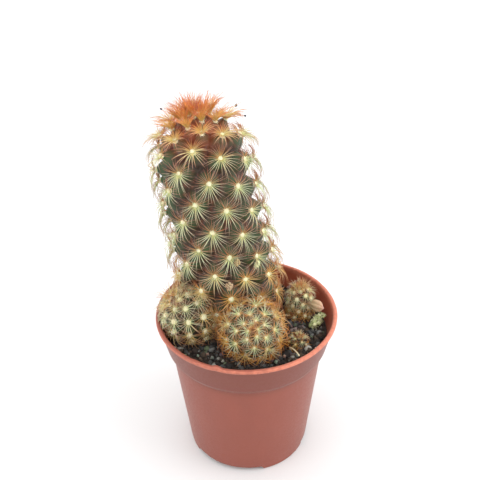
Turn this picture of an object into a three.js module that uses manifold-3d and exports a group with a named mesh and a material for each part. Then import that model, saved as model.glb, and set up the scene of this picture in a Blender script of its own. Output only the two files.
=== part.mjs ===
// A finger cactus with its offsets, growing in a small round nursery pot of moulded plastic.
//
// The main stem is a blunt finger that leans to the left (-X) near the back of the pot. Round offsets crowd its
// foot at the front, left and right. Every stem is covered in cone-shaped tubercles set out on a golden-angle
// spiral. Potting soil fills the pot to a little below the rim, and crumbs of perlite, bark, moss, a twig, a straw
// and dry flower remains lie about on it.
//
// Millimetres, +Z up, origin on the surface that the pot stands on, at the pot's axis. The front is -Y.

import * as THREE from "three";
import { mergeVertices } from "three/addons/utils/BufferGeometryUtils.js";
import Module from "manifold-3d";

const wasm = await Module();
wasm.setup();

// ---------------------------------------------------------------- driving dimensions

const CLEARANCE = 0.3; // gap between pieces that touch

const POT = {
  height: 50,
  rimRadius: 27.5, // outside of the lip
  lipWidth: 1.2,
  lipHeight: 1.1,
  lipOverhang: 0.35, // how far the lip stands out from the collar
  collarHeight: 11, // from the rim down to the step
  collarTaper: 2.6, // how much the collar narrows on the way down
  stepWidth: 1.1, // where the collar meets the wall
  baseRadius: 19.1,
  baseRounding: 0.6,
  wall: 0.9,
  floorThickness: 1.1,
  footHeight: 1.5, // the foot ring lifts the floor by this much
  footWidth: 1.6,
  notches: 3, // gaps in the foot ring, for draining
  notchAngle: 71, // degrees each
  firstNotchAt: 248, // degrees, the middle of the notch at the front
  holes: 6,
  holeRadius: 2.2,
  holeCircle: 11.5,
  segments: 60,
};

const SOIL = {
  belowRim: 7, // depth of the headspace
  bumps: 0.45, // height of the surface's swells
  rings: 6,
  sectors: 40,
};

// Each stem: where its foot is (angle in degrees round the pot, distance from the inside of the wall to the stem's
// widest side, and depth of the foot under the soil), how it leans (degrees from upright, and towards which
// angle), and its shape. radius is at the tubercles' tips. cell is the area that one grown tubercle takes up, young
// is the share of it that one at the tip has, and growIn is how far down the stem they grow. The spiral starts at
// the angle spiralFrom, firstTubercle turns of growth from the tip.
const STEMS = [
  {
    name: "main_stem",
    angle: 111.3,
    wallGap: 0.8,
    sink: 4.5,
    lean: 8.5,
    leanTo: 180,
    length: 72,
    radius: 14.8,
    widestAt: 19.5,
    footShare: 0.72,
    taper: 0.13,
    dome: 12.5,
    tubercle: 3.3,
    cell: 60.4,
    young: 0.1,
    growIn: 20,
    spiralFrom: 273.5,
    firstTubercle: 0.56,
    around: 44,
    along: 40,
  },
  {
    name: "front_offset",
    angle: 297.6,
    wallGap: 13.5,
    sink: -2.3,
    lean: 46,
    leanTo: 272,
    length: 16.8,
    radius: 8.1,
    widestAt: 8.2,
    footShare: 0.5,
    taper: 0,
    dome: 8.6,
    tubercle: 1.9,
    cell: 18.8,
    young: 0.14,
    growIn: 8.6,
    spiralFrom: 122.6,
    firstTubercle: 0.64,
    around: 28,
    along: 18,
  },
  {
    name: "left_offset",
    angle: 187.7,
    wallGap: 4.9,
    sink: -1.2,
    lean: 34,
    leanTo: 193,
    length: 16.4,
    radius: 7.4,
    widestAt: 8,
    footShare: 0.55,
    taper: 0,
    dome: 8.4,
    tubercle: 2,
    cell: 23,
    young: 0.19,
    growIn: 12.7,
    spiralFrom: 157.4,
    firstTubercle: 0.77,
    around: 26,
    along: 16,
  },
  {
    name: "right_offset",
    angle: 18.7,
    wallGap: 3.5,
    sink: 3.3,
    lean: 1.6,
    leanTo: 64,
    length: 14,
    radius: 3.5,
    widestAt: 5,
    footShare: 0.7,
    taper: 0.05,
    dome: 4,
    tubercle: 0.9,
    cell: 6.9,
    young: 0.12,
    growIn: 5,
    spiralFrom: 13,
    firstTubercle: 0.5,
    around: 20,
    along: 14,
  },
  {
    name: "small_offset",
    angle: 330,
    wallGap: 4.4,
    sink: 2,
    lean: 12,
    leanTo: 300,
    length: 6,
    radius: 2.8,
    widestAt: 3,
    footShare: 0.6,
    taper: 0,
    dome: 3,
    tubercle: 0.7,
    cell: 5,
    young: 0.15,
    growIn: 4,
    spiralFrom: 40,
    firstTubercle: 0.5,
    around: 16,
    along: 10,
  },
];

// Every second grain is smaller. turns are radians from one grain to the next, about X, Y and Z.
const PERLITE = { size: 0.8, smallShare: 0.8, shape: [1, 0.8, 0.7], turns: [0.4, 0.7, 1.1] };
const PERLITE_PLACES = [
  { angle: 223, wallGap: 4.9 },
  { angle: 228, wallGap: 7.2 },
  { angle: 236, wallGap: 6.4 },
  { angle: 246, wallGap: 7.2 },
  { angle: 296, wallGap: 5.5 },
  { angle: 306, wallGap: 6.1 },
  { angle: 316, wallGap: 4.2 },
  { angle: 330, wallGap: 2.4 },
];
const BARK = { angle: 351.5, wallGap: 9, length: 4.4, width: 1.7, thickness: 1 };
const MOSS = { angle: 358, wallGap: 3.2, radius: 1.9, height: 3.2 };
const HUSK = { aroundStem: 310, upStem: 9.4, pointsTo: 353, droop: 6, length: 5, radius: 1.35 };
const TWIG = { radius: 0.45, fromAngle: 54, toAngle: 44.5, rise: 4.6, inset: 0.6, footInset: 0.9 };
const STRAW = {
  radius: 0.22,
  fromAngle: 320,
  toAngle: 306,
  inset: 9,
  overhang: 0.5,
  rise: 2.2,
  bow: 0.7,
};
const FLOWER_REMAINS = { size: 0.8 };
const FLOWER_PLACES = [
  { angle: 290, height: 33 },
  { angle: 312, height: 29.5 },
  { angle: 276, height: 26 },
];

// ---------------------------------------------------------------- colours, one material each

const COLOURS = {
  pot: { color: 0xb4614a, roughness: 0.45 },
  soil: { color: 0x2a201b, roughness: 1 },
  stem: { color: 0x4d6644, roughness: 0.7 },
  perlite: { color: 0xdedccf, roughness: 0.9 },
  bark: { color: 0x85757a, roughness: 0.9 },
  moss: { color: 0xb9c79a, roughness: 1 },
  husk: { color: 0xd3a88c, roughness: 0.8 },
  twig: { color: 0x9c6a55, roughness: 0.9 },
  straw: { color: 0xd9c691, roughness: 0.7 },
  remains: { color: 0xb98e72, roughness: 0.9 },
};

function meshOf(name, geometry, colour) {
  const material = new THREE.MeshStandardMaterial({ ...COLOURS[colour], metalness: 0 });
  const mesh = new THREE.Mesh(geometry, material);
  mesh.name = name;
  return mesh;
}

// ---------------------------------------------------------------- solids

function toSolid(geometry) {
  const bare = geometry.clone();
  bare.deleteAttribute("normal");
  bare.deleteAttribute("uv");
  const merged = mergeVertices(bare, 1e-4);
  return new wasm.Manifold(
    new wasm.Mesh({
      numProp: 3,
      vertProperties: merged.attributes.position.array,
      triVerts: new Uint32Array(merged.index.array),
    }),
  );
}

function toGeometry(solid) {
  const mesh = solid.getMesh();
  return new THREE.BufferGeometry()
    .setAttribute("position", new THREE.BufferAttribute(mesh.vertProperties, 3))
    .setIndex(new THREE.BufferAttribute(mesh.triVerts, 1));
}

// A solid of revolution about +Z from [radius, height] pairs that go round its section anticlockwise.
function turned(profile, segments) {
  const points = profile.map(([radius, height]) => new THREE.Vector2(radius, height));
  return new THREE.LatheGeometry(points, segments).rotateX(Math.PI / 2);
}

// A closed surface from rings of points, between one first and one last point on the axis.
function skinOf(first, rings, last) {
  const count = rings[0].length;
  const positions = [first, ...rings.flat(), last].flatMap((p) => [p.x, p.y, p.z]);
  const end = 1 + rings.length * count;
  const index = [];
  for (let i = 0; i < count; i++) {
    const j = (i + 1) % count;
    index.push(0, 1 + i, 1 + j);
    index.push(end, end - count + j, end - count + i);
    for (let k = 0; k + 1 < rings.length; k++) {
      const near = 1 + k * count;
      const far = near + count;
      index.push(near + i, far + i, far + j);
      index.push(near + i, far + j, near + j);
    }
  }
  return new THREE.BufferGeometry()
    .setAttribute("position", new THREE.Float32BufferAttribute(positions, 3))
    .setIndex(index);
}

const radians = THREE.MathUtils.degToRad;

function polar(angle, radius, height) {
  return new THREE.Vector3(
    radius * Math.cos(radians(angle)),
    radius * Math.sin(radians(angle)),
    height,
  );
}

// ---------------------------------------------------------------- the pot

const collarTop = POT.rimRadius - POT.lipOverhang;
const collarFoot = collarTop - POT.collarTaper;
const wallTop = collarFoot - POT.stepWidth;
const stepHeight = POT.height - POT.collarHeight;
const floorTop = POT.footHeight + POT.floorThickness;

// The outside and the inside radius of the pot at a height.
function outerRadius(height) {
  if (height < stepHeight)
    return THREE.MathUtils.mapLinear(height, 0, stepHeight, POT.baseRadius, wallTop);
  return THREE.MathUtils.mapLinear(height, stepHeight, POT.height, collarFoot, collarTop);
}

function innerRadius(height) {
  return outerRadius(height) - POT.wall;
}

function potProfile() {
  const lipInside = POT.rimRadius - POT.lipWidth;
  const lipFoot = POT.height - POT.lipHeight;
  const soft = POT.lipWidth / 4;
  const footInside = POT.baseRadius - POT.footWidth;
  return [
    [0, POT.footHeight],
    [footInside, POT.footHeight],
    [footInside, 0],
    [POT.baseRadius - POT.baseRounding, 0],
    [outerRadius(POT.baseRounding / 3) - POT.baseRounding / 4, POT.baseRounding / 3],
    [outerRadius(POT.baseRounding), POT.baseRounding],
    [wallTop, stepHeight - POT.wall / 3],
    [collarFoot, stepHeight + POT.wall / 3],
    [outerRadius(lipFoot), lipFoot],
    [POT.rimRadius, lipFoot + soft],
    [POT.rimRadius, POT.height - soft],
    [POT.rimRadius - soft, POT.height],
    [lipInside + soft, POT.height],
    [Math.min(lipInside, innerRadius(POT.height - soft)), POT.height - soft],
    [innerRadius(stepHeight + POT.wall), stepHeight + POT.wall],
    [innerRadius(stepHeight - POT.wall), stepHeight - POT.wall],
    [innerRadius(floorTop), floorTop],
    [0, floorTop],
  ];
}

// The wedge of the foot ring that one drain notch takes away.
function notchCutter(middle) {
  const shape = new THREE.Shape();
  const reach = POT.baseRadius * 1.2;
  shape.moveTo(0, 0);
  shape.absarc(
    0,
    0,
    reach,
    radians(middle - POT.notchAngle / 2),
    radians(middle + POT.notchAngle / 2),
    false,
  );
  shape.closePath();
  const depth = POT.footHeight;
  return toSolid(
    new THREE.ExtrudeGeometry(shape, {
      depth: depth + 1,
      bevelEnabled: false,
      curveSegments: 10,
    }).translate(0, 0, -1),
  );
}

function holeCutter(angle) {
  const hole = new THREE.CylinderGeometry(
    POT.holeRadius,
    POT.holeRadius,
    floorTop + 2,
    16,
  ).rotateX(Math.PI / 2);
  const place = polar(angle, POT.holeCircle, floorTop / 2);
  return toSolid(hole.translate(place.x, place.y, place.z));
}

function makePot() {
  let solid = toSolid(turned(potProfile(), POT.segments));
  for (let i = 0; i < POT.notches; i++)
    solid = solid.subtract(notchCutter(POT.firstNotchAt + (i * 360) / POT.notches));
  for (let i = 0; i < POT.holes; i++)
    solid = solid.subtract(holeCutter((i * 360) / POT.holes));
  return meshOf("pot", toGeometry(solid), "pot");
}

// What no stem may reach into: the pot's wall with its clearance.
function wallKeepOut() {
  const top = POT.height + CLEARANCE;
  const outside = POT.rimRadius + CLEARANCE;
  const lipInside = POT.rimRadius - POT.lipWidth - CLEARANCE;
  return toSolid(
    turned(
      [
        [innerRadius(floorTop) - CLEARANCE, floorTop],
        [outside, floorTop],
        [outside, top],
        [lipInside, top],
        [innerRadius(stepHeight) - CLEARANCE, stepHeight],
        [innerRadius(floorTop) - CLEARANCE, floorTop],
      ],
      POT.segments,
    ),
  );
}

// ---------------------------------------------------------------- stems

const soilLevel = POT.height - SOIL.belowRim;

// The radius at the tubercles' tips, at a height above the stem's foot.
function stemRadius(stem, height) {
  const below = Math.max(0, 1 - height / stem.widestAt);
  const above = Math.max(0, height - stem.widestAt) / (stem.length - stem.widestAt);
  const intoDome = Math.min(1, Math.max(0, height - stem.length + stem.dome) / stem.dome);
  const foot = 1 - (1 - stem.footShare) * below * below;
  return stem.radius * foot * (1 - stem.taper * above) * Math.sqrt(1 - intoDome * intoDome);
}

// Points down the stem's side, from the tip to the foot, evenly spaced along it, each with its outward normal.
function meridian(stem, steps) {
  const fine = 400;
  const line = [];
  for (let i = 0; i <= fine; i++) {
    const height = stem.length * Math.cos((i / fine) * (Math.PI / 2)) ** 2;
    line.push(new THREE.Vector2(stemRadius(stem, height), height));
  }
  const travelled = [0];
  for (let i = 1; i <= fine; i++)
    travelled.push(travelled[i - 1] + line[i].distanceTo(line[i - 1]));
  const points = [];
  let at = 0;
  for (let k = 0; k <= steps; k++) {
    const wanted = (travelled[fine] * k) / steps;
    while (at < fine - 1 && travelled[at + 1] < wanted) at++;
    const share = (wanted - travelled[at]) / (travelled[at + 1] - travelled[at]);
    const point = line[at].clone().lerp(line[at + 1], share);
    const along = line[at + 1].clone().sub(line[at]).normalize();
    points.push({ radius: point.x, height: point.y, out: -along.y, up: along.x, travelled: wanted });
  }
  return points;
}

// Where the tubercles' tips are: each one turns by the golden angle from the last, and goes down the stem as far
// as its own area needs. Tubercles near the tip are young and small.
function tuberclesOf(stem) {
  const goldenAngle = 180 * (3 - Math.sqrt(5));
  const steps = 600;
  const side = meridian(stem, steps);
  const tips = [];
  let grown = 0;
  for (let k = 1; k < steps; k++) {
    const step = side[k].travelled - side[k - 1].travelled;
    const age = Math.min(1, side[k].travelled / stem.growIn);
    const cell = stem.cell * (stem.young + (1 - stem.young) * age * age * (3 - 2 * age));
    grown += (2 * Math.PI * side[k].radius * step) / cell;
    if (grown < tips.length + stem.firstTubercle) continue;
    const angle = stem.spiralFrom - goldenAngle * tips.length;
    const place = polar(angle, side[k].radius, side[k].height);
    tips.push({ place, spacing: Math.sqrt(cell) });
  }
  return tips;
}

// The matrix that stands a stem in the pot. The stem's widest side keeps its gap to the wall.
function stemMatrix(stem) {
  const distance = innerRadius(soilLevel) - stem.wallGap - stem.radius;
  const foot = polar(stem.angle, distance, soilLevel);
  const axis = polar(stem.leanTo, Math.sin(radians(stem.lean)), Math.cos(radians(stem.lean)));
  const turn = new THREE.Quaternion().setFromUnitVectors(new THREE.Vector3(0, 0, 1), axis);
  foot.addScaledVector(axis, -stem.sink);
  return new THREE.Matrix4().compose(foot, turn, new THREE.Vector3(1, 1, 1));
}

// The skin falls from each tubercle's tip and is deepest at this share of the tubercles' spacing. Close to the
// stem's own tip, it is never deeper than this slope.
const AXIL_AT = 0.62;
const CROWN_SLOPE = 0.4;

function stemSkin(stem) {
  const tips = tuberclesOf(stem);
  const side = meridian(stem, stem.along);
  const rings = [];
  for (let k = 1; k < stem.along; k++) {
    const ring = [];
    for (let i = 0; i < stem.around; i++) {
      const angle = ((i + (k % 2) / 2) * 360) / stem.around;
      const point = polar(angle, side[k].radius, side[k].height);
      let nearest = Infinity;
      for (const tip of tips)
        nearest = Math.min(nearest, point.distanceTo(tip.place) / (AXIL_AT * tip.spacing));
      const depth = Math.min(stem.tubercle, side[k].travelled * CROWN_SLOPE) * Math.min(1, nearest);
      const normal = polar(angle, side[k].out, side[k].up);
      ring.push(point.addScaledVector(normal, -depth));
    }
    rings.push(ring);
  }
  return skinOf(
    new THREE.Vector3(0, 0, stem.length),
    rings,
    new THREE.Vector3(0, 0, side[stem.along].height),
  );
}

// The smooth outline of a stem's tubercle tips, larger by the clearance.
function stemEnvelope(stem) {
  const side = meridian(stem, 14);
  const profile = side.map((p) => [
    Math.max(0, p.radius + CLEARANCE * p.out),
    p.height + CLEARANCE * p.up,
  ]);
  profile[0] = [0, stem.length + CLEARANCE];
  profile.push([profile[profile.length - 1][0], -CLEARANCE]);
  profile.push([0, -CLEARANCE]);
  return toSolid(turned(profile.reverse(), 28).applyMatrix4(stemMatrix(stem)));
}

// Each stem is trimmed where it presses against the wall or against a stem that was there before it.
function makeStems() {
  let taken = wallKeepOut();
  return STEMS.map((stem) => {
    const whole = toSolid(stemSkin(stem).applyMatrix4(stemMatrix(stem)));
    const trimmed = whole.subtract(taken);
    taken = taken.add(stemEnvelope(stem));
    return meshOf(stem.name, toGeometry(trimmed), "stem");
  });
}

// ---------------------------------------------------------------- soil

function soilHeight(x, y) {
  const swell = Math.sin(x * 0.31 + 1.2) * Math.cos(y * 0.27) + 0.6 * Math.sin(x * 0.63 - y * 0.52);
  return soilLevel + SOIL.bumps * swell;
}

function makeSoil() {
  const gap = CLEARANCE;
  const bottom = floorTop + gap;
  const rings = [];
  for (let k = 1; k <= SOIL.rings; k++) {
    const radius = ((innerRadius(soilLevel) - gap) * k) / SOIL.rings;
    rings.push(ringOf(radius, soilHeight));
  }
  const wallHeights = [stepHeight + POT.wall, stepHeight - POT.wall, bottom];
  for (const height of wallHeights)
    rings.push(ringOf(innerRadius(height) - gap, () => height));
  const top = new THREE.Vector3(0, 0, soilHeight(0, 0));
  let solid = toSolid(skinOf(top, rings, new THREE.Vector3(0, 0, bottom)));
  for (const stem of STEMS) solid = solid.subtract(stemEnvelope(stem));
  return meshOf("soil", toGeometry(solid), "soil");
}

function ringOf(radius, heightAt) {
  const ring = [];
  for (let i = 0; i < SOIL.sectors; i++) {
    const point = polar((i * 360) / SOIL.sectors, radius, 0);
    point.z = heightAt(point.x, point.y);
    ring.push(point);
  }
  return ring;
}

// A place on the soil, at an angle round the pot and a distance in from the wall.
function onSoil(angle, wallGap, lift) {
  const place = polar(angle, innerRadius(soilLevel) - wallGap, 0);
  place.z = soilHeight(place.x, place.y) + SOIL.bumps / 2 + lift;
  return place;
}

// ---------------------------------------------------------------- what lies on the soil

function makePerlite() {
  return PERLITE_PLACES.map(({ angle, wallGap }, i) => {
    const grain = meshOf(`perlite_${i + 1}`, new THREE.IcosahedronGeometry(1, 0), "perlite");
    const size = PERLITE.size * (i % 2 ? PERLITE.smallShare : 1);
    const turns = PERLITE.turns.map((turn) => turn * i);
    grain.scale.set(...PERLITE.shape).multiplyScalar(size);
    grain.rotation.set(...turns);
    grain.position.copy(onSoil(angle, wallGap, size + CLEARANCE));
    return grain;
  });
}

function makeBark() {
  const outline = new THREE.Shape();
  const half = BARK.length / 2;
  const side = BARK.width / 2;
  outline.moveTo(-half, -side * 0.5);
  outline.quadraticCurveTo(0, -side * 1.3, half, -side * 0.7);
  outline.lineTo(half * 0.94, side * 0.8);
  outline.quadraticCurveTo(0, side * 1.1, -half * 0.96, side * 0.6);
  outline.closePath();
  const slab = new THREE.ExtrudeGeometry(outline, {
    depth: BARK.thickness,
    bevelEnabled: false,
    curveSegments: 4,
  });
  const chip = meshOf("bark_chip", slab, "bark");
  chip.rotation.z = radians(6);
  chip.position.copy(onSoil(BARK.angle, BARK.wallGap, CLEARANCE));
  return chip;
}

function makeMoss() {
  const tuft = meshOf("moss_tuft", new THREE.IcosahedronGeometry(1, 1), "moss");
  tuft.scale.set(MOSS.radius, MOSS.radius * 1.15, MOSS.height / 2);
  tuft.position.copy(onSoil(MOSS.angle, MOSS.wallGap, MOSS.height / 2 + CLEARANCE));
  return tuft;
}

// A dry husk that hangs on the side of the right offset and points at the wall. It is pointed at its tip.
function makeHusk() {
  const stem = STEMS.find(({ name }) => name === "right_offset");
  const profile = [[0, 0]];
  const steps = 6;
  for (let i = 0; i < steps; i++) {
    const share = (i + 0.5) / steps;
    profile.push([HUSK.radius * Math.sin(Math.PI * share ** 0.8), HUSK.length * share]);
  }
  profile.push([0, HUSK.length]);
  const out = stemRadius(stem, HUSK.upStem) + CLEARANCE;
  const root = polar(HUSK.aroundStem, out, HUSK.upStem).applyMatrix4(stemMatrix(stem));
  const solid = toSolid(
    turned(profile, 10)
      .rotateY(radians(90 + HUSK.droop))
      .rotateZ(radians(HUSK.pointsTo))
      .translate(root.x, root.y, root.z),
  );
  return meshOf("dry_husk", toGeometry(solid.subtract(stemEnvelope(stem))), "husk");
}

function tubeAlong(points, radius, steps) {
  const section = new THREE.Shape();
  section.absarc(0, 0, radius, 0, 2 * Math.PI, false);
  return new THREE.ExtrudeGeometry(section, {
    extrudePath: new THREE.CatmullRomCurve3(points),
    steps,
    curveSegments: 4,
  });
}

// The twig leans against the inside of the wall.
function makeTwig() {
  const gap = TWIG.radius + CLEARANCE;
  const points = [0, 0.5, 1].map((share) => {
    const angle = THREE.MathUtils.lerp(TWIG.fromAngle, TWIG.toAngle, share);
    const height = soilLevel + SOIL.bumps + gap + TWIG.rise * share;
    const inset = gap + TWIG.inset + TWIG.footInset * (1 - share);
    return polar(angle, innerRadius(height) - inset, height);
  });
  return meshOf("twig", tubeAlong(points, TWIG.radius, 6), "twig");
}

// The straw lies from the soil up over the lip.
function makeStraw() {
  const gap = STRAW.radius + CLEARANCE;
  const start = polar(STRAW.fromAngle, POT.rimRadius - STRAW.inset, soilLevel + STRAW.rise);
  const end = polar(STRAW.toAngle, POT.rimRadius + STRAW.overhang, POT.height + gap + STRAW.bow);
  const middle = start.clone().lerp(end, 0.5);
  middle.z += STRAW.bow;
  return meshOf("straw", tubeAlong([start, middle, end], STRAW.radius, 10), "straw");
}

// Dry remains of flowers, caught among the spines on the front of the main stem.
function makeFlowerRemains() {
  const stem = STEMS[0];
  const turn = new THREE.Quaternion();
  stemMatrix(stem).decompose(new THREE.Vector3(), turn, new THREE.Vector3());
  return FLOWER_PLACES.map(({ angle, height }, i) => {
    const bit = meshOf(`flower_remains_${i + 1}`, new THREE.DodecahedronGeometry(1, 0), "remains");
    const out = stemRadius(stem, height) + CLEARANCE + FLOWER_REMAINS.size;
    bit.scale.setScalar(FLOWER_REMAINS.size);
    bit.position.copy(polar(angle, out, height).applyMatrix4(stemMatrix(stem)));
    bit.quaternion.copy(turn);
    return bit;
  });
}

// ---------------------------------------------------------------- the whole object

const cactus = new THREE.Group();
cactus.add(makePot(), makeSoil());
cactus.add(...makeStems());
cactus.add(...makePerlite(), makeBark(), makeMoss(), makeHusk(), makeTwig(), makeStraw());
cactus.add(...makeFlowerRemains());

export default cactus;
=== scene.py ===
"""A finger cactus with its offsets in a small nursery pot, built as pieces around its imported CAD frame."""

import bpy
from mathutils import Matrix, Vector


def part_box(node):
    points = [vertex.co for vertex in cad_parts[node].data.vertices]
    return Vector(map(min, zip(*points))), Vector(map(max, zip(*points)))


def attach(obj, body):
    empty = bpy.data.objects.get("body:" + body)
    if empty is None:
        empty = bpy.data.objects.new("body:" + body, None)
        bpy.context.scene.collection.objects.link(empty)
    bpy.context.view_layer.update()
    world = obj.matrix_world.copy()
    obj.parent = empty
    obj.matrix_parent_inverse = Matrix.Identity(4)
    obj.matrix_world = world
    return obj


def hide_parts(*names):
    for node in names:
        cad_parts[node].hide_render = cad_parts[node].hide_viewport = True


bl_info = {
    "name": "Potted finger cactus",
    "version": (1, 0, 0),
    "blender": (4, 5, 0),
    "location": "3D View > Sidebar > Cactus",
    "description": "Builds a spiny finger cactus, its offsets, soil and pot around a packed CAD frame",
    "category": "Add Mesh",
}

from dataclasses import dataclass
from itertools import product

import bpy
import numpy as np
from bpy.props import BoolProperty, FloatProperty, FloatVectorProperty, IntProperty, PointerProperty
from mathutils import Matrix, Vector

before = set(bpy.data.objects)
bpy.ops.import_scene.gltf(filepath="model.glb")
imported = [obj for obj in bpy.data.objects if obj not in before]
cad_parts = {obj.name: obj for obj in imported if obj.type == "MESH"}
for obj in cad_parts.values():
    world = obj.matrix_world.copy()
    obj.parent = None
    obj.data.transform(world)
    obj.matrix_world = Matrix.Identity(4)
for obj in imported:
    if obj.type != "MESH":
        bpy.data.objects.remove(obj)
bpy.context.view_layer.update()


def paint(red, green, blue):
    """The linear colour for the 0 to 255 values that a colour picker shows."""
    share = np.array([red, green, blue]) / 255
    return tuple(np.where(share > 0.04045, ((share + 0.055) / 1.055) ** 2.4, share / 12.92).tolist())


MM = 0.001
GOLDEN_ANGLE = np.pi * (3 - np.sqrt(5))

POT_BOX = np.array(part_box("pot")) / MM
SOIL_BOX = np.array(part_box("soil")) / MM
RIM_RADIUS = POT_BOX[1, 0]
POT_HEIGHT = POT_BOX[1, 2]
DRAIN_HOLES = 6
FOOT_GAPS = 3
PERLITE_CRUMBS = 8

# The noise's table of values, what a step along each axis adds to a place in it, and a shift above 0.
NOISE_TABLE = 4096
NOISE_STRIDES = (7349, 9151, 5573)
NOISE_ORIGIN = 1000


# ---------------------------------------------------------------- sizes and colours that a user would change


def length_setting(name, description, default):
    """A length in metres for the panel."""
    return FloatProperty(name=name, description=description, default=default, unit="LENGTH")


def angle_setting(name, description, degrees):
    """An angle for the panel, given here in degrees."""
    return FloatProperty(name=name, description=description, default=np.radians(degrees), subtype="ANGLE")


def colour_setting(name, description, default):
    """A colour for the panel."""
    return FloatVectorProperty(name=name, description=description, default=default, subtype="COLOR")


class PotSizes(bpy.types.PropertyGroup):
    """The moulded pot. Lengths are in metres, as everywhere in the panel."""

    lip_width: length_setting("Lip width", "Across the top of the lip", 0.0013)
    lip_height: length_setting("Lip height", "Height of the lip's outer bead", 0.0011)
    lip_overhang: length_setting("Lip overhang", "How far the lip stands out", 0.00035)
    collar_height: length_setting("Collar height", "From the rim to the step", 0.011)
    collar_taper: length_setting("Collar taper", "How much the collar narrows", 0.0026)
    step_width: length_setting("Step width", "From the collar to the wall", 0.0011)
    base_radius: length_setting("Base radius", "Outside of the wall at its foot", 0.0191)
    base_rounding: length_setting("Base rounding", "Radius of the bottom edge", 0.0007)
    wall: length_setting("Wall", "Thickness of the plastic", 0.0009)
    foot_height: length_setting("Foot height", "The foot ring lifts the floor by this", 0.0015)
    foot_width: length_setting("Foot width", "Across the foot ring", 0.0016)
    notch_angle: angle_setting("Notch angle", "Width of a gap in the foot ring", 71)
    first_notch_at: angle_setting("First notch at", "Middle of the front gap", 248)
    hole_radius: length_setting("Hole radius", "Drain holes in the floor", 0.0022)
    hole_circle: length_setting("Hole circle", "Radius that the drain holes lie on", 0.0115)
    colour: colour_setting("Plastic", "Colour of the wall", paint(136, 72, 58))
    # Painted highlight: the colour that the lip is painted where light catches it.
    lip_highlight_colour: colour_setting("Painted lip highlight", "Painted highlight on the lip", paint(210, 126, 100))
    # Painted light: the inside is a deeper orange, standing in for light through the thin plastic.
    inside_glow_colour: colour_setting("Inside", "Colour of the inside of the wall", paint(158, 80, 58))


class SoilLooks(bpy.types.PropertyGroup):
    """The potting soil and what is mixed into it."""

    headspace: length_setting("Headspace", "From the rim down to the soil", 0.007)
    roughness: length_setting("Roughness", "Height of the soil's lumps", 0.0005)
    crumbs: IntProperty(name="Crumbs", description="Loose crumbs on the soil", default=3000, min=0)
    crumb_size: length_setting("Crumb size", "Radius of a middling crumb", 0.00042)
    fibres: IntProperty(name="Fibres", description="Peat fibres on the soil", default=170, min=0)
    colour: colour_setting("Peat", "Colour of the dry peat", paint(52, 42, 34))
    seed: IntProperty(name="Seed", description="Starts the random places", default=7)


class PlantLooks(bpy.types.PropertyGroup):
    """The stems' skin, wool and spines."""

    flesh: colour_setting("Flesh", "Colour of the tubercles", paint(57, 77, 43))
    # Dark brown in the axils: partly the skin's own colour, partly painted shade in the hollows.
    axil: colour_setting("Axils", "Colour between the tubercles", paint(56, 38, 25))
    young_axil: colour_setting("Young axils", "Colour between the youngest tubercles", paint(150, 72, 36))
    wool: colour_setting("Wool", "Colour of the areoles' wool", paint(246, 240, 206))
    wool_hairs: IntProperty(name="Wool hairs", description="Hairs on each areole", default=26, min=0)
    spine_thickness: length_setting("Spine thickness", "Radius at the root", 0.000095)
    spine_sides: IntProperty(name="Spine sides", description="Flats round a spine", default=4, min=3)
    spine_joints: IntProperty(name="Spine joints", description="Points along a spine", default=7, min=3)
    uneven: BoolProperty(name="Uneven", description="Spines differ from each other", default=True)
    seed: IntProperty(name="Seed", description="Starts the random differences", default=3)


class StageLooks(bpy.types.PropertyGroup):
    """The floor, the light and the camera."""

    floor_colour: colour_setting("Floor", "Colour of the floor", paint(225, 225, 225))
    world_strength: FloatProperty(name="Sky light", description="Light from all round", default=1.46)
    key_power: FloatProperty(
        name="Key light", description="Power of the large light at the right", default=1.6, unit="POWER")
    fill_power: FloatProperty(
        name="Fill light", description="Power of the light at the left", default=0.4, unit="POWER")
    camera_height: angle_setting("Camera elevation", "Angle above level", 42.73)
    camera_distance: length_setting("Camera distance", "To the pot's middle", 0.244)
    camera_pitch: angle_setting("Camera pitch", "Turned up from the pot's middle", 9.96)
    camera_yaw: angle_setting("Camera yaw", "Turned right", -0.39)
    camera_roll: angle_setting("Camera roll", "Turned about its own axis", -1.05)
    lens: FloatProperty(name="Lens", description="Focal length in mm on a 36 mm sensor", default=56.0)


# ---------------------------------------------------------------- the plant's stems


@dataclass
class Stem:
    """One stem. Lengths are in millimetres and angles in degrees.

    Its place: angle is where its foot is round the pot, and wall_gap the room between the stem and the pot's
    wall. sink is how deep the foot is in the soil, and the stem leans by lean towards lean_to.

    Its shape: radius is at the tubercles' tips, widest_at a height above the foot, foot_share the foot's
    share of the radius, taper the share that is lost on the way up, and dome the height of the rounded end.
    around and along are the skin's columns and rows.

    Its tubercles: tubercle is how far they stand out, cell the area of a grown one, young the share of it
    that one at the tip has, and grow_in how far down they grow. The spiral starts at spiral_from, where the
    count reaches first_tubercle.

    Its spines: spines is how many an areole has, short the share of their length that those at the tip have,
    crown how far from the tip they are young, and knob the radius of an areole's wool.

    Their colours, as shares: fire is how orange the young ones are, brown how dark those that point up are,
    gold how golden those beyond the share gold_from of the way to the foot are, and gilt the same for those
    that point up.
    """

    node: str
    angle: float
    wall_gap: float
    sink: float
    lean: float
    lean_to: float
    length: float
    radius: float
    widest_at: float
    foot_share: float
    taper: float
    dome: float
    around: int
    along: int
    tubercle: float
    cell: float
    young: float
    grow_in: float
    spiral_from: float
    first_tubercle: float
    spines: int
    spine_length: float
    short: float
    crown: float
    knob: float
    fire: float
    brown: float
    gold: float
    gold_from: float
    gilt: float


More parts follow.
